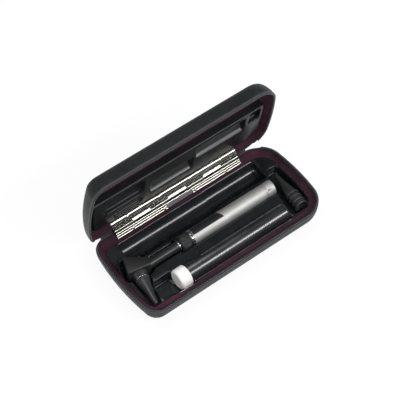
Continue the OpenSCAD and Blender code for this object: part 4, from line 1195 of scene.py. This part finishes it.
def floor():
    bm = bmesh.new()
    bmesh.ops.create_grid(bm, x_segments=1, y_segments=1, size=6)
    made = object_of(bm, "floor")
    f = Finish("floor_paper", Roughness=0.95)
    f.colour(f.between(f.grain(3, 2), (0.86, 0.86, 0.86), (0.9, 0.9, 0.9)))
    light = f.node("LightPath")
    seen = f.node("Math", operation="MAXIMUM")
    f.join(light.outputs["Is Camera Ray"], seen.inputs[0])
    f.join(shiny_rays(f.tree, light), seen.inputs[1])
    share = f.node("Math", operation="MULTIPLY")
    f.join(seen.outputs[0], share.inputs[0])
    share.inputs[1].default_value = FLOOR_GLOW
    glow = f.node("Emission")
    glow.inputs["Color"].default_value = WHITE_LIGHT
    mix = f.node("MixShader")
    f.join(share.outputs[0], mix.inputs["Fac"])
    f.join(f.shader.outputs[0], mix.inputs[1])
    f.join(glow.outputs[0], mix.inputs[2])
    f.join(mix.outputs[0], f.tree.nodes["Material Output"].inputs["Surface"])
    made.data.materials.append(f.material)
    made.location.z = -FLOOR_DROP


def room():
    """World: plain grey light, white to the camera and, near the horizon, to gloss and glass."""
    world = bpy.data.worlds.new("room")
    bpy.context.scene.world = world
    world.use_nodes = True
    tree = world.node_tree
    tree.nodes.clear()
    join = tree.links.new
    light = node_in(tree, "LightPath")
    split = node_in(tree, "SeparateXYZ")
    join(node_in(tree, "TexCoord").outputs["Generated"], split.inputs[0])
    height = node_in(tree, "ValToRGB")
    join(split.outputs["Z"], height.inputs[0])
    white, dark = height.color_ramp.elements
    white.position, white.color = 0.02, WHITE_LIGHT
    dark.position, dark.color = 0.16, (0.09, 0.09, 0.092, 1)
    bounce = node_in(tree, "MixRGB")
    bounce.inputs[1].default_value = (0.5, 0.5, 0.51, 1)
    join(height.outputs[0], bounce.inputs[2])
    join(shiny_rays(tree, light), bounce.inputs[0])
    shown = node_in(tree, "MixRGB")
    join(light.outputs["Is Camera Ray"], shown.inputs[0])
    join(bounce.outputs[0], shown.inputs[1])
    shown.inputs[2].default_value = WHITE_LIGHT
    back = node_in(tree, "Background")
    join(shown.outputs[0], back.inputs["Color"])
    join(back.outputs[0], node_in(tree, "OutputWorld").inputs["Surface"])


# Height in metres of the point that the lights face
LIT_HEIGHT = 0.03


def softbox(name, direction, distance, width, height, power):
    """Rectangular light that faces the case, its width along X."""
    data = bpy.data.lights.new(name, "AREA")
    data.shape, data.size, data.size_y, data.energy = "RECTANGLE", width, height, power
    made = bpy.data.objects.new(name, data)
    bpy.context.scene.collection.objects.link(made)
    away = Vector(direction).normalized()
    side = (X - away * X.dot(away)).normalized()
    facing = Matrix((side, away.cross(side), away)).transposed().to_4x4()
    made.matrix_world = Matrix.Translation(away * distance + Vector((0, 0, LIT_HEIGHT))) @ facing


floor()
room()
softbox("front_strip", (0.34, -0.64, 0.69), 1.7, 1.5, 0.26, 22)
softbox("top_box", (-0.15, 0.35, 1.0), 1.9, 1.3, 1.0, 16)
softbox("left_fill", (-1.0, -0.25, 0.55), 1.8, 0.9, 0.7, 5)
